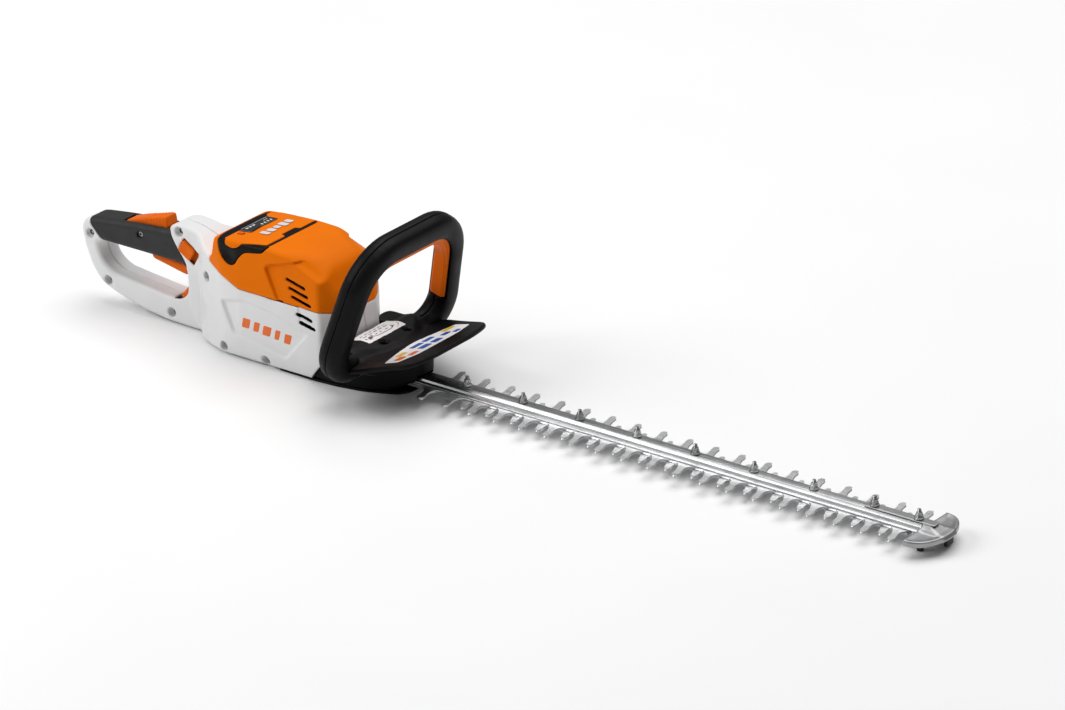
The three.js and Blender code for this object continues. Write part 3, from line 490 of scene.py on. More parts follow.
ZINC = ("zinc_steel", brushed(
    "zinc steel", (0.22, 0.22, 0.225), (0.50, 0.50, 0.505), 0.26, (700, 700, 60), 0.2))
CORE = ("motor_core", windings("motor core"))
BOARD = ("circuit_board", moulded(
    "circuit board", (0.015, 0.11, 0.05), 0.35, 420, 0.5, (0.5, 0.4, 0.2), 0.3))


# ---- the body, in one field
def slab_edges(s):
    front = 4 * np.clip((s.z - 70) / 40, 0, 1) * step_up(s.x + 100, 50)
    rear = 9 * np.exp(-((s.z - 27) / 16) ** 2) * step_up(-s.x - 110, 40)
    side = profile(s, BODY_SIDE, 8)
    plan = flat(soft(BODY_PLAN, 3), s.x + front - rear, s.y)
    section = flat(soft(BODY_SECTION, 8), s.y, s.z)
    return both(both(side, plan, 4), section, 4)


def handle_field(s):
    outer = both(profile(s, HANDLE_OUTER, 9), s.side - HANDLE_HALF, 7)
    return minus(outer, profile(s, HAND_OPENING, 7), 5)


def facet(s):
    """The plane that takes off the hood's upper front corner, on both sides."""
    a, b, c = Vector((-60, 44.5, 128)), Vector((-16.5, 26.2, 116.8)), Vector((-19, 49, 107))
    n = (b - a).cross(c - a).normalized()
    n = n if n.z > 0 else -n
    return (s.x - a.x) * n.x + (s.side - a.y) * n.y + (s.z - a.z) * n.z


def outside(s):
    """Everything that the housing, hood and handle enclose."""
    body = both(slab_edges(s), facet(s), 2.5)
    whole = either(body, handle_field(s), 2.5)
    flank = step_up(s.side - 34, 6)
    panel = step_up(-profile(s, FLANK_PANEL, 6), 4.5)
    scoop = step_up(-profile(s, VENT_PANEL, 3), 1.6) * np.clip((-s.x - 8) / 62, 0, 1)
    slant = np.exp(-(near([(-187, 92), (-188, 60), (-187, 2)], s.x, s.z) / 1.1) ** 2)
    return whole + flank * (3.5 * panel + 3.8 * scoop) + 0.6 * slant * (s.side > 12)


SCREW_PLACES = {
    "housing_screw_rear": (-331, -12, 74), "housing_screw_low": (-309, -8.5, 27.5),
    "housing_screw_mid": (-227, -8.5, 13), "head": (-214, -12, 104), "body": (-166, -24, 73.5),
    "base_rear": (-138, -28, 9), "base_front": (-84, -29, 8),
}
POCKET_R = 5.2
VENT_SLOPE, VENT_R = -0.19, 1.65
GRIP_SCREW, GRIP_SCREW_R = (-266, -13.4, 88), 3.9


def pockets(s, places):
    """The round recess over each screw head."""
    return union(both(np.hypot(s.x - x, s.z - z) - POCKET_R, s.y - y) for x, y, z in places)


def vents(s):
    """The cooling slots: three in the hood, and two shorter ones below its edge."""
    slots = []
    for i in (0, 1, 2, 4, 5):
        half, back, lift = (11.4, 0, 0) if i < 3 else (8.6, 3, 0.6)
        place = (-44.6 - back + 3.75 * i, 99.6 - 8.1 * i + lift)
        along, over = turned_axes(s.x, s.z, place, VENT_SLOPE)
        slot = np.hypot(np.maximum(np.abs(along) - half, 0), over) - VENT_R
        slots.append(both(slot, 40 - s.side))
    return union(slots)


LOCK_AT, LOCK_SLOPE, LOCK_TRAVEL = (-203, 87.4), 0.55, 5


def lock_box(s, a0, a1, b0, b1):
    """A block in the lock slide's own directions."""
    along, over = turned_axes(s.x, s.z, LOCK_AT, -LOCK_SLOPE)
    return both(span(along, a0, a1), span(over, b0, b1), 1.0)


def housing_half(name, sign):
    s = Space((-347, -52 if sign < 0 else -1.5, -1.5), (14, 1.5 if sign < 0 else 52, 130), 1.0)
    solid = outside(s)
    if sign < 0:
        solid = minus(solid, pockets(s, SCREW_PLACES.values()), 0.8)
    shell = minus(solid, solid + WALL)
    shell = minus(shell, profile(s, HOOD_REGION) - SEAM, 0.7)
    shell = minus(shell, both(profile(s, GRIP_REGION, 4), s.side - 30) - SEAM, 0.7)
    case = both(footprint(s, GEAR_CASE_PLAN) - 2 * GAP, s.z - 45)
    shell = minus(shell, case)
    shell = minus(shell, profile(s, LOOP_GAP_SIDE), 0.6)
    shell = minus(shell, both(footprint(s, BOTTOM_PLAN) - GAP, s.z - 3 - GAP))
    shell = minus(shell, both(profile(s, LATCH_WINDOW), s.side - 14), 0.8)
    shell = minus(shell, lock_box(s, -9.6, 9.6 + LOCK_TRAVEL, -8.1, 8.1), 0.8)
    shell = minus(shell, vents(s), 0.5)
    shell = both(shell, SEAM - sign * s.y, 0.5)
    carve(name.replace("housing", "shell"), s, shell, WHITE, nodes=[name])


BATTERY_TOP, BATTERY_TILT = (-115, 126.8), math.radians(4.4)
BUTTON_AT = (-13.5, -24)


def battery_axes(s):
    """Coordinates along and over the battery's top face, which tips down to the rear."""
    return turned_axes(s.x, s.z, BATTERY_TOP, BATTERY_TILT)


def make_hood():
    s = Space((-170, -52, 60), (14, 52, 132), 0.8)
    solid = outside(s)
    shell = minus(solid, solid + WALL)
    shell = both(shell, profile(s, HOOD_REGION) + SEAM, 0.7)
    along, over = battery_axes(s)
    rim = flat(soft(BATTERY_RIM, 4), along, s.y)
    shell = minus(shell, both(rim - 0.5, -12 - over), 0.7)
    shell = minus(shell, both(both(span(along, -27.8, 28.8), s.side - 41.3), over))
    shell = minus(shell, both(profile(s, CHEEK, 4) - 0.4, s.y + 39), 0.7)
    shell = minus(shell, vents(s), 0.5)
    carve("hood", s, shell, ORANGE, nodes=["top_cover"])


def grip_half(name, sign):
    s = Space((-344, -18 if sign < 0 else -1.5, 55), (-200, 1.5 if sign < 0 else 18, 108), 0.7)
    solid = handle_field(s)
    x, y, z = GRIP_SCREW
    screw = both(np.hypot(s.x - x, s.z - z) - GRIP_SCREW_R, s.y - y)
    solid = minus(solid, screw, 0.6)
    shell = minus(solid, solid + WALL)
    shell = both(shell, profile(s, GRIP_REGION, 4) + SEAM, 0.8)
    shell = minus(shell, both(span(s.x, -263.5, -204), np.maximum(s.side - 9, s.z - 73)), 0.6)
    shell = minus(shell, both(span(s.x, -292, -229), np.maximum(s.side - 10, 91 - s.z)), 0.6)
    shell = minus(shell, lock_box(s, -12, 10, -9, 9))
    shell = both(shell, SEAM - sign * s.y, 0.4)
    carve(name.replace("grip", "grip_shell"), s, shell, GRIP, nodes=[name])


# ---- controls
def make_controls():
    s = Space((-265, -10, 50), (-207, 10, 79), 0.5)
    finger = profile(s, TRIGGER, 2.5) + 0.35 * (s.y / 8) ** 2 * (s.z < 66)
    body = both(finger, s.side - 8, 2.2)
    ribs = 0.35 * np.cos((s.x - s.z * 0.15) * 2 * math.pi / 3.2)
    ribs = ribs * step_up(62 - s.z, 3) * (s.x > -252)
    carve("trigger_lever", s, body + np.maximum(ribs, 0), CONTROL, "trigger", ["trigger"])

    s = Space((-293, -11, 86), (-231, 11, 114), 0.5)
    lever = both(profile(s, SAFETY_LEVER, 3), s.side - 9, 2.4)
    grooves = 0.3 * (1 + np.cos(s.x * 2 * math.pi / 4)) * step_up(s.z - 99, 4) * (s.x > -262)
    carve("safety_thumb_lever", s, lever + grooves, CONTROL, "safety_lever", ["safety_lever"])

    s = Space((-222, -22.5, 68), (-184, 22.5, 107), 0.55)
    along, over = turned_axes(s.x, s.z, LOCK_AT, -LOCK_SLOPE)
    bar = both(both(span(along, -4, 4), span(over, -4, 4)), s.side - 19)
    button = both(span(along, -8.6, 8.6), span(over, -7.1, 7.1), 2)
    button = both(button, span(s.side, 16.1, 21), 1.6)
    dish = 0.9 * np.exp(-((along / 6) ** 2 + (over / 5) ** 2)) * (s.side > 19)
    skirt = both(span(along, -15, 15), span(over, -9.6, 9.6), 1.5)
    skirt = both(skirt, span(s.side, 11.5, 13), 0.4)
    lock = np.minimum(np.minimum(bar, skirt), button + dish)
    carve("lock_button", s, lock, CONTROL, "lock_slide", ["lock_slide"])

    s = Space((-219, -18.5, 27), (-197, 18.5, 51), 0.5)
    latch = both(profile(s, LATCH, 2), s.side - 13.4, 1.8)
    along, over = turned_axes(s.x, s.z, (-210, 42), 0.9)
    latch = latch + 0.35 * np.maximum(np.cos(along * 2 * math.pi / 3), 0) * (over > 0)
    carve("battery_release", s, latch, CONTROL, "battery_latch", ["battery_latch"])


# ---- front loop
LEAN = math.radians(14.9)
UP = Vector((math.sin(LEAN), 0, math.cos(LEAN)))
FORWARD = Vector((math.cos(LEAN), 0, -math.sin(LEAN)))
LOOP_ORIGIN = Vector((32, 0, 50))
LOOP_PLACE = Matrix.Translation(LOOP_ORIGIN) @ Matrix((
    (0, UP.x, FORWARD.x, 0), (1, 0, 0, 0), (0, UP.z, FORWARD.z, 0), (0, 0, 0, 1)))
LOOP_TOP, LOOP_BOTTOM, LOOP_HALF, LOOP_TAPER, TUBE_R = 113.0, -14, 90.4, 0.1826, 13.5


def arc_line(corners, steps=10):
    """A line with each corner (a, b, radius) turned into an arc."""
    line = [corners[0][:2]]
    for i in range(1, len(corners) - 1):
        p = Vector(corners[i][:2])
        back = (Vector(corners[i - 1][:2]) - p).normalized()
        ahead = (Vector(corners[i + 1][:2]) - p).normalized()
        half = math.acos(back.dot(ahead)) / 2
        radius = corners[i][2]
        centre = p + (back + ahead).normalized() * radius / math.sin(half)
        start = p + back * radius / math.tan(half) - centre
        sweep = math.pi - 2 * half
        turn = math.copysign(sweep, -(back.x * ahead.y - back.y * ahead.x))
        for k in range(steps + 1):
            t = turn * k / steps
            line.append((centre.x + start.x * math.cos(t) - start.y * math.sin(t),
                         centre.y + start.x * math.sin(t) + start.y * math.cos(t)))
    line.append(corners[-1][:2])
    return line


def loop_line():
    low = LOOP_HALF - LOOP_TAPER * LOOP_BOTTOM
    high = LOOP_HALF - LOOP_TAPER * LOOP_TOP
    return arc_line([
        (-56, LOOP_BOTTOM), (-low, LOOP_BOTTOM, 28), (-high, LOOP_TOP, 46.6),
        (high, LOOP_TOP, 46.6), (low, LOOP_BOTTOM, 28), (56, LOOP_BOTTOM),
    ])


def tube_field(away, across):
    """The tube round a line, with a section between a circle and a square."""
    return (away ** 2.6 + np.abs(across) ** 2.6) ** (1 / 2.6) - TUBE_R


def make_loop():
    line = loop_line()
    for name, sign in (("loop_front_shell", 1), ("loop_rear_shell", -1)):
        c0, c1 = (-1.5, 15) if sign > 0 else (-15, 1.5)
        s = Space((-108, -30, c0), (108, 129, c1), 0.8, LOOP_PLACE)
        away = near(line, s.x, s.y)
        inward = -flat(line, s.x, s.y)
        ring = tube_field(away, s.z)
        tube = both(ring, 56.2 - np.abs(s.x) - 200 * step_up(s.y + 6, 4), 0.6)
        shell = minus(tube, ring + WALL)
        groove = both(both(7 - inward, np.abs(s.z) - 10.4), 17.5 - s.y, 0.4)
        shell = minus(shell, groove, 0.6)
        shell = both(shell, SEAM - sign * s.z, 0.4)
        carve(name.replace("shell", "half"), s, shell, BLACK, nodes=[name])
    s = Space((-90, 17, -12), (90, 108, 12), 0.7, LOOP_PLACE)
    inward = -flat(line, s.x, s.y)
    deep = 13.8 + 4.2 * step_up(s.y - 62, 30)
    bar = both(both(8.5 - inward, inward - deep), np.abs(s.z) - 7.0, 1.2)
    flange = both(span(inward, 8.5, 12.0), np.abs(s.z) - 8.6, 0.6)
    bar = both(np.minimum(bar, flange), 18.5 - s.y, 1.6)
    carve("switch_bar", s, bar, CONTROL_BAR, "switch_bar", ["loop_switch_bar"])


CONTROL_BAR = ("orange_controls", moulded(
    "orange switch bar", (0.82, 0.155, 0.002), 0.40, 1500, 0.1, (0.90, 0.24, 0.02), 0.2,
    Specular_IOR_Level=0.1))

# ---- hand guard and gear case
GUARD_AT, GUARD_SLOPE = (60, 41.5), 0.273
CROWN_TOP, CROWN_DROP = 51.0, 2.8
MOTOR_X, BEARING_R, SEAT_R = -33.75, 11, 13.7
HOLES = [(42, -17), (41, 22)]


def crown(x, y):
    """Height of the saddle's top: a plateau that falls a little to the sides, then to the front."""
    sides = CROWN_DROP * step_up(np.abs(y) - 8, 34)
    return CROWN_TOP - sides - 7 * step_up(x - 50 + 0.010 * y * y, 14)


def guard_field(s):
    """The guard plate, the saddle behind it and the sockets that take the loop's ends."""
    plan = footprint(s, SADDLE_PLAN, 10)
    saddle = both(plan, np.maximum(s.z - crown(s.x, s.y), 29 - s.z), 4)
    u, w = turned_axes(s.x, s.z, GUARD_AT, GUARD_SLOPE)
    outline = soft([(x - GUARD_AT[0], y) for x, y in GUARD_PLAN], 7)
    plate = both(flat(outline, u, s.y), span(w, 0.2, 5), 1.9)
    guard = either(saddle, plate, 9)
    a = (s.x - LOOP_ORIGIN.x) * UP.x + (s.z - LOOP_ORIGIN.z) * UP.z
    c = (s.x - LOOP_ORIGIN.x) * FORWARD.x + (s.z - LOOP_ORIGIN.z) * FORWARD.z
    socket = both(tube_field(np.abs(a - LOOP_BOTTOM), c), s.side - 55.8, 0.5)
    guard = either(guard, socket, 6)
    leg = tube_field(near(loop_line(), s.y, a), c) - GAP
    guard = minus(guard, np.maximum(leg, 56 - s.side), 0.5)
    for x, y in HOLES:
        hole = np.hypot(s.x - x, s.y - y) - 3.6
        sink = hole - np.maximum(s.z - CROWN_TOP + 2.5, 0)
        guard = minus(guard, np.maximum(np.minimum(hole, sink), 46 - s.z), 0.3)
    return guard


def make_guard():
    s = Space((-10, -84, 24), (120, 84, 64), 0.8)
    guard = guard_field(s)
    case = both(footprint(s, GEAR_CASE_PLAN) - 2 * GAP, s.z - 45.3)
    guard = minus(guard, case)
    guard = minus(guard, both(footprint(s, BODY_PLAN) - 2 * GAP, s.z - 80))
    carve("guard_and_saddle", s, guard, BLACK, nodes=["hand_guard"])


def make_case():
    s = Space((-48, -45, 2), (86, 45, 47), 0.9)
    body = both(footprint(s, GEAR_CASE_PLAN, 9), span(s.z, 3.3, 44.7), 3)
    undercut = both(body, 12 - s.z - 0.45 * (70 - s.x), 3)
    hollow = both(footprint(s, GEAR_CASE_PLAN) + 3, s.z - 41.7)
    ring = both(np.hypot(s.x, s.y) - SEAT_R, 31 - s.z)
    shell = minus(undercut, minus(hollow, ring))
    shell = minus(shell, both(np.hypot(s.x, s.y) - BEARING_R, s.z - 37.3))
    shell = minus(shell, both(np.maximum(70 - s.x, s.side - 12.5), s.z - 22), 0.8)
    shell = minus(shell, both(np.hypot(s.x - MOTOR_X, s.y) - 4, 30 - s.z))
    carve("gear_case", s, shell, BLACK, nodes=["gear_housing"])
    s = Space((-74, -45, -1.5), (72, 45, 9.5), 0.8)
    base = both(footprint(s, BOTTOM_PLAN, 6), span(s.z, 0, 3), 1.2)
    seat = both(np.hypot(s.x, s.y) - SEAT_R, span(s.z, 2, 8))
    base = minus(np.minimum(base, seat), both(np.hypot(s.x, s.y) - BEARING_R, 3 - s.z))
    for x, y in ((-60, 30), (-60, -30), (20, 26), (20, -26), (52, 12), (52, -12)):
        base = minus(base, both(np.hypot(s.x - x, s.y - y) - 3, s.z - 1.4), 0.5)
    carve("base_plate", s, base, BLACK, nodes=["bottom_cover"])


# ---- battery
def lid_face(s, r):
    """Where the lid covers the battery: its outline above, and the lobe down the side."""
    lobe = both(profile(r, LID_LOBE, 2.5), s.y + 40)
    return np.minimum(footprint(s, BATTERY_PANEL, 2), lobe)


def button_outline(s, half, radius):
    """A circle round the charge button's place, drawn out by half each way along the battery."""
    x, y = BUTTON_AT
    return np.hypot(np.maximum(np.abs(s.x - x) - half, 0), s.y - y) - radius


def make_battery():
    x, z = BATTERY_TOP
    tilt = Matrix.Translation((x, 0, z)) @ Matrix.Rotation(-BATTERY_TILT, 4, "Y")
    s = Space((-34, -51, -78), (37, 44, 3.5), 0.8, tilt)
    r = s.in_row()
    skin = outside(r)
    envelope = both(s.z + 0.1, skin, 1.6)
    rim = both(both(footprint(s, BATTERY_RIM, 4), span(s.z, -6, 0)), envelope, 0.8)
    cheek = both(both(profile(r, CHEEK, 4), span(s.y, -60, -38.5)), envelope, 1.2)
    block = both(both(span(s.x, -27, 28), s.side - 40.5, 3), span(s.z, -76, -3), 2)
    dent = 3.2 * np.exp(-(((r.x + 129) / 8.5) ** 2 + ((r.z - 110) / 6.5) ** 2)) * (s.y < -36)
    case = np.minimum(np.minimum(rim, cheek) + dent, block)
    top = both(s.z - 0.6, skin - 0.3, 1.6)
    face = lid_face(s, r)
    case = minus(case, both(face - 0.4, -2.4 - top), 0.5)
    well = button_outline(s, 1.3, 3.2)
    case = minus(case, np.maximum(well, -5 - s.z), 0.3)
    carve("battery_pack", s, case, BLACK, "battery", ["battery_case"])
    s = Space((-29, -51, -12), (32, 41, 2), 0.6, tilt)
    r = s.in_row()
    top = both(s.z - 0.6, outside(r) - 0.3, 1.6)
    panel = both(both(lid_face(s, r), top, 0.6), -1.9 - top)
    panel = minus(panel, np.maximum(footprint(s, DISPLAY, 1.2) - 0.3, -0.8 - s.z), 0.4)
    panel = minus(panel, np.maximum(button_outline(s, 1.3, 2.9), -3 - s.z), 0.3)
    carve("battery_lid", s, panel, ORANGE, "battery", ["battery_cover"])
    s = Space((-22, -21, -1.5), (-4, 28, 2), 0.5, tilt)
    glass = both(footprint(s, DISPLAY, 1.2), span(s.z, -0.5, 0.9), 0.5)
    carve("charge_window", s, glass, GLOSS, "battery", ["battery_display"])
    s = Space((-18.5, -27.5, -2.5), (-8.5, -20.5, 2.5), 0.3, tilt)
    stud = both(button_outline(s, 1.0, 2.4), span(s.z, -1.4, 1.3), 0.7)
    carve("charge_button_cap", s, stud, CONTROL, "charge_button", ["battery_button"])
    lamps = [(-10.4, 5 + 4.8 * i, 1.5, 0.9) for i in range(4)]
    marks(tilt, "charge_lamps", lamps, 0.88, lamp_material())
    bars = [(-15.6, -12 + 5.2 * i, 1.2, 1.7) for i in range(3)]
    bars += [(-15.6, 15 + 3.4 * i, 0.5, 1.1) for i in range(2)]
    bars.append((-19.2, 3, 0.22, 20))
    marks(tilt, "window_marks", bars, 0.88, INK_WHITE)
    blocks = [
        (8 + 0.4 * (i % 2), -13 + 9.4 * i, 5.6 - 0.9 * (i % 3), 3.2 + 0.5 * (i % 2))
        for i in range(5)
    ]
    marks(tilt, "lid_bars", blocks, 0.56, INK_WHITE)


def lamp_material():
    material, tree, shader, place = material_base("charge lamp", Emission_Strength=0.15)
    shader.inputs["Emission Color"].default_value = (0.8, 0.95, 0.8, 1)
    glow = noise(tree, place, 900, 2)
    paint = shade(tree, glow, (0.62, 0.66, 0.62), (0.78, 0.82, 0.78))
    gloss = spread(tree, glow, 0.2, 0.35)
    wired(tree, shader, paint, gloss, [(glow, 0.05, 0.0001)])
    return material


def printed(name, colour, rough=0.38):
    """Printed film with a faint orange-peel surface."""
    material, tree, shader, place = material_base(name)
    tone = noise(tree, place, 300, 3)
    dark = tuple(c * 0.93 for c in colour)
    paint = shade(tree, tone, dark, colour)
    smear = noise(tree, place, 80, 3)
    gloss = spread(tree, smear, rough - 0.05, rough + 0.08)
    wired(tree, shader, paint, gloss, [(tone, 0.06, 0.0001)])
    return material


INK_WHITE = printed("white print", (0.72, 0.73, 0.74))
INK_GREY = printed("grey print", (0.10, 0.10, 0.105))
INK_BLUE = printed("blue print", (0.01, 0.09, 0.42))
INK_ORANGE = printed("orange print", (0.86, 0.15, 0.0008))
INK_YELLOW = printed("yellow print", (0.80, 0.52, 0.03))
LABEL = printed("label film", (0.95, 0.955, 0.96), 0.3)


def marks(place, name, tiles, height, material, thick=0.12):
    """Thin printed marks on the battery: (x, y, half length, half width) each, with round ends."""
    points, faces = [], []
    for x, y, half, wide in tiles:
        r = min(half, wide) * 0.6
        ring = []
        for cx, cy, start in ((1, 1, 0), (-1, 1, 1), (-1, -1, 2), (1, -1, 3)):
            for k in range(4):
                t = math.pi / 2 * (start + k / 3)
                across = y + cy * (wide - r) + r * math.sin(t)
                ring.append((x + cx * (half - r) + r * math.cos(t), across))
        base = len(points)
        n = len(ring)
        for lift in (-thick, thick):
            points += [(px, py, height + lift) for px, py in ring]
        faces += [[base + k for k in reversed(range(n))], [base + n + k for k in range(n)]]
        faces += band(base // n, base // n + 1, n)
    moved = [tuple((place @ Vector(p)) * MM) for p in points]
    new_object(name, mesh_from(name, moved, faces, 30), ("display", material), "battery")


# ---- labels on the guard
def film(name, s, shapes, solid, thick, material):
    """Something printed or stuck on a solid's surface, seen from above: an outline in x and y,
    or a list of rounded blocks (x, y, half length, half width)."""
    if len(shapes[0]) == 2:
        region = flat(shapes, s.x, s.y)
    else:
        region = union(
            both(np.abs(s.x - x) - half, np.abs(s.y - y) - wide, min(half, wide) * 0.6)
            for x, y, half, wide in shapes)
    carve(name, s, both(region, both(solid - thick, -0.5 - solid)), ("white_housing", material))


def make_labels():
    s = Space((8, -34, 38), (42, 34, 54), 0.5)
    guard = guard_field(s)
    patch = [(11, -29), (34, -30), (36, 0), (34, 30), (11, 29), (13.5, 0)]
    film("saddle_label", s, soft(patch, 3), guard, 0.2, LABEL)
    s = Space((8, -34, 38), (42, 34, 54), 0.35)
    guard = guard_field(s)
    lines = [(17.5, -22 + 7 * i, 0.7, 2.4) for i in range(6)]
    lines += [(21.5, -21 + 8 * i, 0.7, 2.9) for i in range(5)]
    lines += [
        (27.5, -20, 2.4, 2.6), (27, -10, 0.9, 1.6), (27, -3, 0.9, 1.2), (27, 6, 0.7, 2.2),
        (27, 16, 0.7, 2.8),
    ]
    film("saddle_label_marks", s, lines, guard, 0.32, INK_GREY)
    x, z = GUARD_AT
    plate = Matrix.Translation((x, 0, z)) @ Matrix.Rotation(-GUARD_SLOPE, 4, "Y")
    s = Space((3, -61, 0), (42, 61, 12), 0.5, plate)
    guard = guard_field(s.in_row())
    strip = [
        (15, -58.5), (30, -56), (37, -30), (37, 32), (33, 58.5), (14, 58.5), (8, 30), (5.5, 0),
        (8, -30),
    ]
    film("guard_label", s, soft(strip, 3), guard, 0.2, LABEL)
    s = Space((3, -61, 0), (42, 61, 12), 0.4, plate)
    guard = guard_field(s.in_row())
    blue = [
        (15, -6, 3.6, 9), (15, 13, 3.6, 8), (27, -8, 4.4, 8), (28, 10, 4.4, 7), (24, 30, 3.6, 6),
        (31, 39, 3, 5),
    ]
    film("guard_label_blue", s, blue, guard, 0.32, INK_BLUE)
    orange = [(25, -45, 4.2, 6.5), (29, -29, 3.4, 6.5)]
    film("guard_label_orange", s, orange, guard, 0.32, INK_ORANGE)
    yellow = [(17, -33, 3.6, 7.5), (16, 44, 3.4, 9)]
    film("guard_label_yellow", s, yellow, guard, 0.32, INK_YELLOW)
    s = Space((-118, -53, 28), (-44, -42, 54), 0.4)
    skin = outside(s)
    bars = []
    for i, half in enumerate((4.8, 3.6, 5.2, 3.2, 4.4)):
        x, z = -107 + 13 * i, 42.5 - i
        lean = s.x - x - 0.22 * (s.z - z)
        bars.append(both(np.abs(lean) - half, np.abs(s.z - z) - 5.4, 1.2))
    film_on_skin = both(union(bars), both(skin - 0.15, -0.4 - skin))
    carve("flank_bars", s, film_on_skin, ("orange_cover", INK_ORANGE))


# ---- blades, rail and tip
PITCH, FIRST_TOOTH, BLADE_T, SPINE = 30, 98.9, 2.2, 11.5
LONG_TEETH, SHORT_TEETH, SHORT_OFFSET = 19, 17, 43.5
RAIL_START, RAIL_END = 31, 655
LOWER_Z, UPPER_Z = 9.05, 11.55
BLADE_END = 643
BOLT_X = [130 + 67.05 * i for i in range(8)] + [648]
STROKE, ECCENTRIC_R = 9, 13
# One tooth on the near side: distance along the blade from its tip, and out from the centre line.
LONG_TOOTH = [
    (-14.5, 11.5), (-10, 14), (-6.4, 18.5), (-4.4, 24), (-3.0, 29), (-2.9, 33), (-1.6, 36.9),
    (1.3, 36.9), (2.7, 34.5), (2.2, 31), (1.0, 27), (0.2, 22), (0.2, 17.5), (2.2, 14), (6.5, 11.5),
]
SHORT_TOOTH = [
    (-8.5, 11.5), (-6.0, 14.5), (-3.9, 19), (-2.4, 24), (-1.4, 26.6), (1.2, 26.6), (2.0, 24),
    (1.2, 18), (1.0, 14), (2.0, 11.5),
]


def plate_mesh(name, outlines, z0, z1, edge):
    """A flat plate with holes and chamfered edges, from outlines in x and y."""
    curve = bpy.data.curves.new(name, "CURVE")
    curve.dimensions = "2D"
    curve.fill_mode = "BOTH"
    curve.extrude = ((z1 - z0) / 2 - edge) * MM
    curve.bevel_depth = edge * MM
    curve.bevel_resolution = 0
    curve.offset = -edge * MM
    for points in outlines:
        line = curve.splines.new("POLY")
        line.points.add(len(points) - 1)
        for p, (x, y) in zip(line.points, points):
            p.co = (x * MM, y * MM, 0, 1)
        line.use_cyclic_u = True
    holder = bpy.data.objects.new(name + "_curve", curve)
    bpy.context.scene.collection.objects.link(holder)
    bpy.context.view_layer.update()
    filled = holder.evaluated_get(bpy.context.evaluated_depsgraph_get())
    mesh = bpy.data.meshes.new_from_object(filled)
    bpy.data.objects.remove(holder)
    mesh.transform(Matrix.Translation((0, 0, (z0 + z1) / 2 * MM)))
    mesh.materials.clear()
    mesh.name = name
    return cleaned(mesh, 30, merge=1e-6)


def blade(name, z, places, shape):
    """A blade plate: a yoke round the crank, a spine and a row of teeth along each side."""
    yoke = [(-18, 8), (-18, 26), (-14, 30), (18, 30), (22, 26), (26, SPINE)]
    near_side, far_side = [], []
    for x in places:
        near_side += [(x + a, -b) for a, b in shape if x + a <= BLADE_END]
        far_side += [(x - a, b) for a, b in reversed(shape) if x - a <= BLADE_END]
    fork = [(BLADE_END, 2.8), (BLADE_END - 7.5, 2.8)]
    end = [(BLADE_END, SPINE)] + fork + [(x, -y) for x, y in reversed(fork)] + [(BLADE_END, -SPINE)]
    outline = yoke + far_side + end + near_side[::-1]
    outline += [(a, -b) for a, b in reversed(yoke)]
    radius = ECCENTRIC_R + 1.4
    opening = []
    for k in range(32):
        t = 2 * math.pi * k / 32
        side = math.copysign(STROKE, math.sin(t + 0.01))
        opening.append((radius * math.cos(t), side + radius * math.sin(t)))
    slots = []
    for x in BOLT_X[:-1]:
        back, ahead = x - 11.6, x + 11.6
        slots.append(soft([(back, -2.5), (ahead, -2.5), (ahead, 2.5), (back, 2.5)], 2.4))
    outlines = [soft(outline, 2.2, 4), opening] + slots
    mesh = plate_mesh(name + "_plate", outlines, z, z + BLADE_T, 0.8)
    new_object(name + "_plate", mesh, STEEL, name, [name])


def make_blades():
    longs = [FIRST_TOOTH + PITCH * i for i in range(LONG_TEETH)]
    shorts = [FIRST_TOOTH + SHORT_OFFSET + PITCH * i for i in range(SHORT_TEETH)]
    blade("upper_blade", UPPER_Z, longs, LONG_TOOTH)
    blade("lower_blade", LOWER_Z, shorts, SHORT_TOOTH)


def lathe(name, profile, segments=32):
    """A turned mesh from (radius, z) points of a closed outline that may touch the axis."""
    angles = [2 * math.pi * k / segments for k in range(segments)]
    points, faces = [], []
    for i, (r, z) in enumerate(profile):
        points += [(r * math.cos(t) * MM, r * math.sin(t) * MM, z * MM) for t in angles]
        faces += band(i, (i + 1) % len(profile), segments)
    mesh = bpy.data.meshes.new(name)
    mesh.from_pydata(points, [], faces)
    return cleaned(mesh, 35, merge=1e-7, dissolve=True)


def make_bolts():
    for i, x in enumerate(BOLT_X):
        seat = 1.9 if i >= 7 else 0
        top = 31 + seat
        thread = []
        z = 27.0 + seat
        while z < top - 1.0:
            thread += [(1.95, z), (1.62, z + 0.35)]
            z += 0.7
        stud = [(0, 5.6), (3.9, 5.6), (4.4, 5.8), (5, 6.6), (5, 8.6), (4.8, 8.75), (2, 8.75)]
        stud += thread + [(1.95, top - 0.5), (1.5, top), (0, top)]
        mesh = lathe(f"stud_{i + 1}", stud)
        mesh.transform(Matrix.Translation((x * MM, 0, 0)))
        new_object(f"blade_stud_{i + 1}", mesh, ZINC, nodes=[f"blade_bolt_{i + 1}"])
        make_nut(i, x, 21.2 + seat)


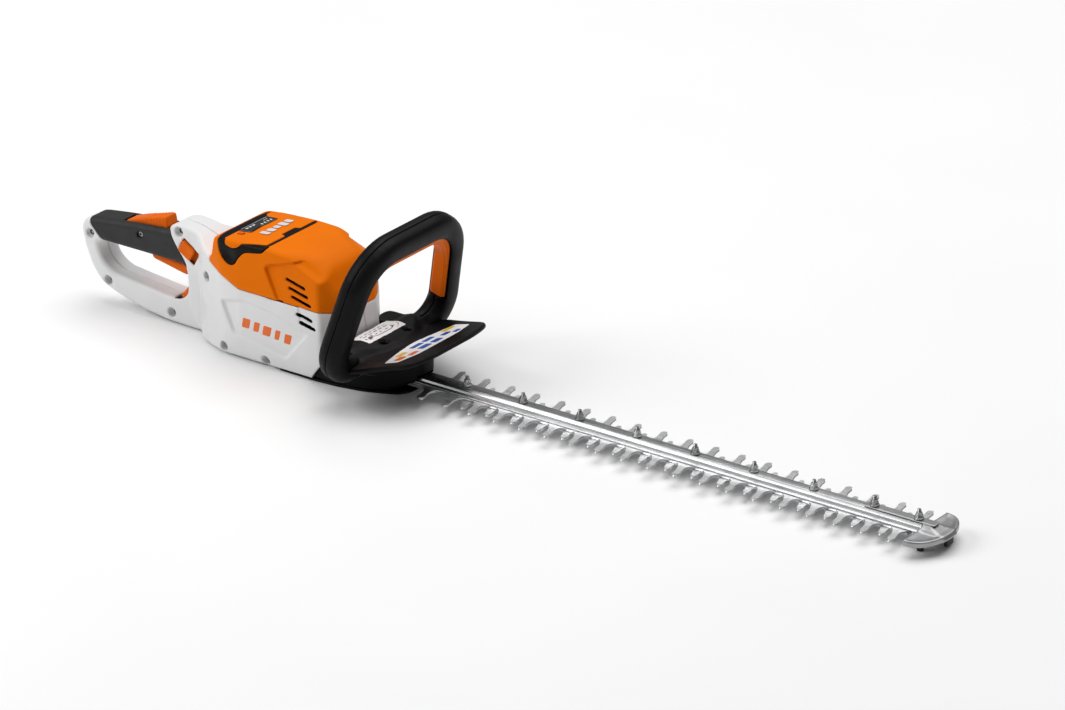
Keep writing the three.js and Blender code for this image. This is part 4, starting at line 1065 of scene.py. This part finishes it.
def make_nut(i, x, z0):
    """A flanged lock nut: a round washer face, a hexagon and a collar."""
    place = Matrix.Translation((x, 0, z0)) @ Matrix.Rotation(0.35 * (i % 3), 4, "Z")
    s = Space((-5.4, -5.4, -0.6), (5.4, 5.4, 7.4), 0.22, place)
    r = np.hypot(s.x, s.y)
    slants = [np.abs(s.x * 0.866 + side * s.y * 0.5) for side in (1, -1)]
    hexagon = np.maximum(s.side, np.maximum(*slants))
    flange = both(r - 4.7, span(s.z, 0, 1.4), 0.4)
    body = both(both(hexagon - 3.45, r - 3.95, 0.2), span(s.z, 0.8, 4.7), 0.3)
    collar = both(r - 3.1, span(s.z, 4, 6.5), 0.6)
    ring = minus(np.minimum(flange, np.minimum(body, collar)), r - 2.25, 0.2)
    carve(f"lock_nut_{i + 1}", s, ring, ZINC, nodes=[f"blade_nut_{i + 1}"], calm=0)


def make_screws():
    """A pan head with a six-lobed recess, one for each place on the near side."""
    s = Space((-3.6, -3.6, -1.4), (3.6, 3.6, 2.6), 0.18)
    r = np.hypot(s.x, s.y)
    angle = np.arctan2(s.y, s.x)
    head = both(r - 3.0, s.z - 1.6 + 0.06 * r * r, 0.3)
    head = both(head, -0.9 - s.z)
    star = r - 1.45 - 0.25 * np.cos(6 * angle)
    head = minus(head, np.maximum(star, 0.1 - s.z), 0.12)
    mesh = field_mesh("screw_head", s, head, 1)
    upright = Matrix.Rotation(math.radians(90), 4, "X")
    places = dict(SCREW_PLACES, grip_screw=GRIP_SCREW)
    for name, (x, y, z) in places.items():
        copy = mesh.copy()
        copy.transform(Matrix.Translation((x * MM, (y + 0.3) * MM, z * MM)) @ upright)
        nodes = [name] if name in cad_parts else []
        short = name.replace("housing_screw_", "").replace("grip_screw", "grip")
        # All but the grip screw get the dark screw colour, which is painted shade for their
        # pockets.
        new_object("screw_" + short, copy, ZINC if short == "grip" else SCREW, nodes=nodes)


TIP_BACK, TIP_REACH, SKID_TOP = 654, 28.2, 10.6
DECK_TOP = 17.2


def make_tip():
    s = Space((588, -40, 9), (686, 40, 25), 0.6)
    rim = []
    for i in range(25):
        t = -math.pi / 2 + math.pi * i / 24
        rim.append((TIP_BACK + TIP_REACH * max(math.cos(t), 0) ** 0.8, 37.5 * math.sin(t)))
    outline = [(TIP_BACK - 1, -35)] + rim + [(TIP_BACK + 1, 35)]
    deck = footprint(s, outline)
    dish = 1.5 * step_up(-deck - 1.6, 7)
    plate = np.maximum(both(deck, span(s.z, 14.35, DECK_TOP), 1.3), s.z - DECK_TOP + dish)
    wall = both(footprint(s, rim), span(s.z, 11, 16), 1.3)
    wall = minus(wall, np.maximum(footprint(s, rim) + 2.8, s.z - 14.3), 0.6)
    ridge = both(s.side - 10.2, (s.side - 5.6) * 0.688 + (s.z - 21.3) * 0.726, 0.6)
    ridge = both(ridge, s.z - 21.5 + 0.42 * np.maximum(s.x - 664, 0), 1.2)
    ridge = both(ridge, np.maximum(TIP_BACK + 1.4 - s.x, 14.5 - s.z), 0.4)
    tang = both(both(span(s.x, 590.4, 668), s.side - 5.2, 2.2), span(s.z, 21.25, 22.75), 0.5)
    tip = either(either(either(plate, wall, 0.8), ridge, 5), tang, 0.8)
    end = s.x - RAIL_END - GAP
    channel = union(
        np.maximum(np.maximum(s.side - half, end), span(s.z, 13, high))
        for half, high in ((12, 16.6), (9.8, 21.15)))
    tip = minus(tip, channel)
    for x in BOLT_X[7:]:
        tip = minus(tip, np.hypot(s.x - x, s.y) - 2.3)
    carve("tip_shoe", s, tip, CASTING, nodes=["tip_guard"])

    s = Space((652, -21, -0.5), (684, 21, 11.5), 0.5)
    rear = both(np.hypot(s.x - 660, s.side - 16) - 3.4, span(s.z, 0, SKID_TOP), 0.8)
    arc = np.hypot(s.x - 652, s.y * 0.72)
    front = both(span(arc, 24.2, TIP_REACH), span(s.y, -2, 11.5), 0.8)
    front = both(front, span(s.z, 2.6, SKID_TOP), 0.8)
    web = both(both(span(arc, 8.5, 27), s.side - 17), span(s.z, 9.2, SKID_TOP), 0.4)
    web = minus(web, both(arc - 20, s.side - 11), 0.4)
    carve("tip_feet", s, np.minimum(np.minimum(rear, front), web), GRIP, nodes=["tip_skid"])


def make_rail():
    """The bar over the blades: a flange along each edge and a bevelled crown."""
    half = [(11.4, 14.05), (11.4, 15.2), (8.2, 15.7), (7.8, 18.3), (5.1, 20.9)]
    outline = soft(half + [(-y, z) for y, z in reversed(half)], 0.35, 3)
    points, faces = [], []
    for x in (RAIL_START, RAIL_START + 0.4, RAIL_END - 0.4, RAIL_END):
        draw = 0.96 if x in (RAIL_START, RAIL_END) else 1
        points += [(x * MM, y * draw * MM, (17.5 + (z - 17.5) * draw) * MM) for y, z in outline]
    n = len(outline)
    for row in range(3):
        faces += band(row, row + 1, n)
    faces += [list(range(n))[::-1], [3 * n + k for k in range(n)]]
    mesh = bpy.data.meshes.new("rail")
    mesh.from_pydata(points, [], faces)
    new_object("rail", cleaned(mesh, 20), ALUMINIUM, nodes=["guide_rail"])


# ---- the CAD nodes that stay
def keep(look, names, bevel):
    """Gives CAD nodes a material and, where bevel is above zero, rounded edges."""
    for name in names:
        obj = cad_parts[name]
        for slot in obj.material_slots:
            slot.material = look[1]
        if bevel:
            edge = obj.modifiers.new("edge", "BEVEL")
            edge.width = bevel * MM
            edge.segments = 2
            edge.limit_method = "ANGLE"
            edge.angle_limit = math.radians(40)


# ---- floor, light and camera
def make_stage():
    bpy.ops.mesh.primitive_plane_add(size=16, location=(0, 0, 0))
    floor = bpy.context.object
    floor.name = "floor"
    material, tree, shader, place = material_base("floor", Specular_IOR_Level=0.1)
    tone = shade(tree, noise(tree, place, 3, 2), (0.94, 0.94, 0.94), (0.96, 0.96, 0.96))
    tree.links.new(tone, shader.inputs["Base Color"])
    shader.inputs["Roughness"].default_value = 0.7
    floor.data.materials.append(material)
    world = bpy.data.worlds.new("studio")
    bpy.context.scene.world = world
    world.use_nodes = True
    tree = world.node_tree
    dim = tree.nodes["Background"]
    dim.inputs["Strength"].default_value = 0.19
    pale = tree.nodes.new("ShaderNodeBackground")
    pale.inputs["Strength"].default_value = 0.85
    pick = tree.nodes.new("ShaderNodeMixShader")
    tree.links.new(tree.nodes.new("ShaderNodeLightPath").outputs["Is Camera Ray"], pick.inputs[0])
    for slot, light in ((1, dim), (2, pale)):
        light.inputs["Color"].default_value = (1, 1, 1, 1)
        tree.links.new(light.outputs[0], pick.inputs[slot])
    tree.links.new(pick.outputs[0], tree.nodes["World Output"].inputs["Surface"])
    soft_box("key", (0.05, 1.3, 3.9), (0.15, 0, 0), 4.4, 152)
    soft_box("fill", (-1.9, -1.8, 2.1), (0.1, 0, 0.05), 1.8, 48)
    soft_box("front", (3.2, -0.4, 1.2), (0.2, 0, 0.05), 1.4, 4)
    bpy.context.scene.view_settings.view_transform = "Standard"
    bpy.context.scene.view_settings.look = "None"


def soft_box(name, place, target, size, power):
    light = bpy.data.lights.new(name, "AREA")
    light.shape = "SQUARE"
    light.size = size
    light.energy = power
    obj = bpy.data.objects.new(name, light)
    obj.location = place
    obj.rotation_mode = "QUATERNION"
    obj.rotation_quaternion = (Vector(target) - Vector(place)).to_track_quat("-Z", "Y")
    bpy.context.scene.collection.objects.link(obj)


CAMERA_AT, CAMERA_LENS = (3.1205, -4.0288, 2.279), 191.5
CAMERA_TURN, CAMERA_RISE = math.radians(35.863), math.radians(23.924)


def make_camera():
    data = bpy.data.cameras.new("camera")
    data.lens = CAMERA_LENS
    data.sensor_width = 36
    data.clip_start, data.clip_end = 0.1, 60
    camera = bpy.data.objects.new("camera", data)
    a, e = CAMERA_TURN, CAMERA_RISE
    back = Vector((math.sin(a) * math.cos(e), -math.cos(a) * math.cos(e), math.sin(e)))
    camera.location = CAMERA_AT
    camera.rotation_mode = "QUATERNION"
    camera.rotation_quaternion = (-back).to_track_quat("-Z", "Y")
    bpy.context.scene.collection.objects.link(camera)
    bpy.context.scene.camera = camera


make_camera()
make_stage()
housing_half("housing_right", -1)
housing_half("housing_left", 1)
make_hood()
grip_half("grip_right", -1)
grip_half("grip_left", 1)
make_controls()
make_loop()
make_guard()
make_case()
make_battery()
make_labels()
make_blades()
make_bolts()
make_screws()
make_rail()
make_tip()
keep(STEEL, ["output_gear", "crank_shaft", "lower_bearing", "upper_bearing", "motor_rotor"], 0.15)
keep(STEEL, ["trigger_spring", "bar_spring", "battery_spring"], 0)
keep(CORE, ["motor_stator"], 0.3)
keep(BLACK, ["cooling_fan", "battery_terminal", "trigger_switch", "loop_switch"], 0.3)
keep(BOARD, ["control_board"], 0.3)
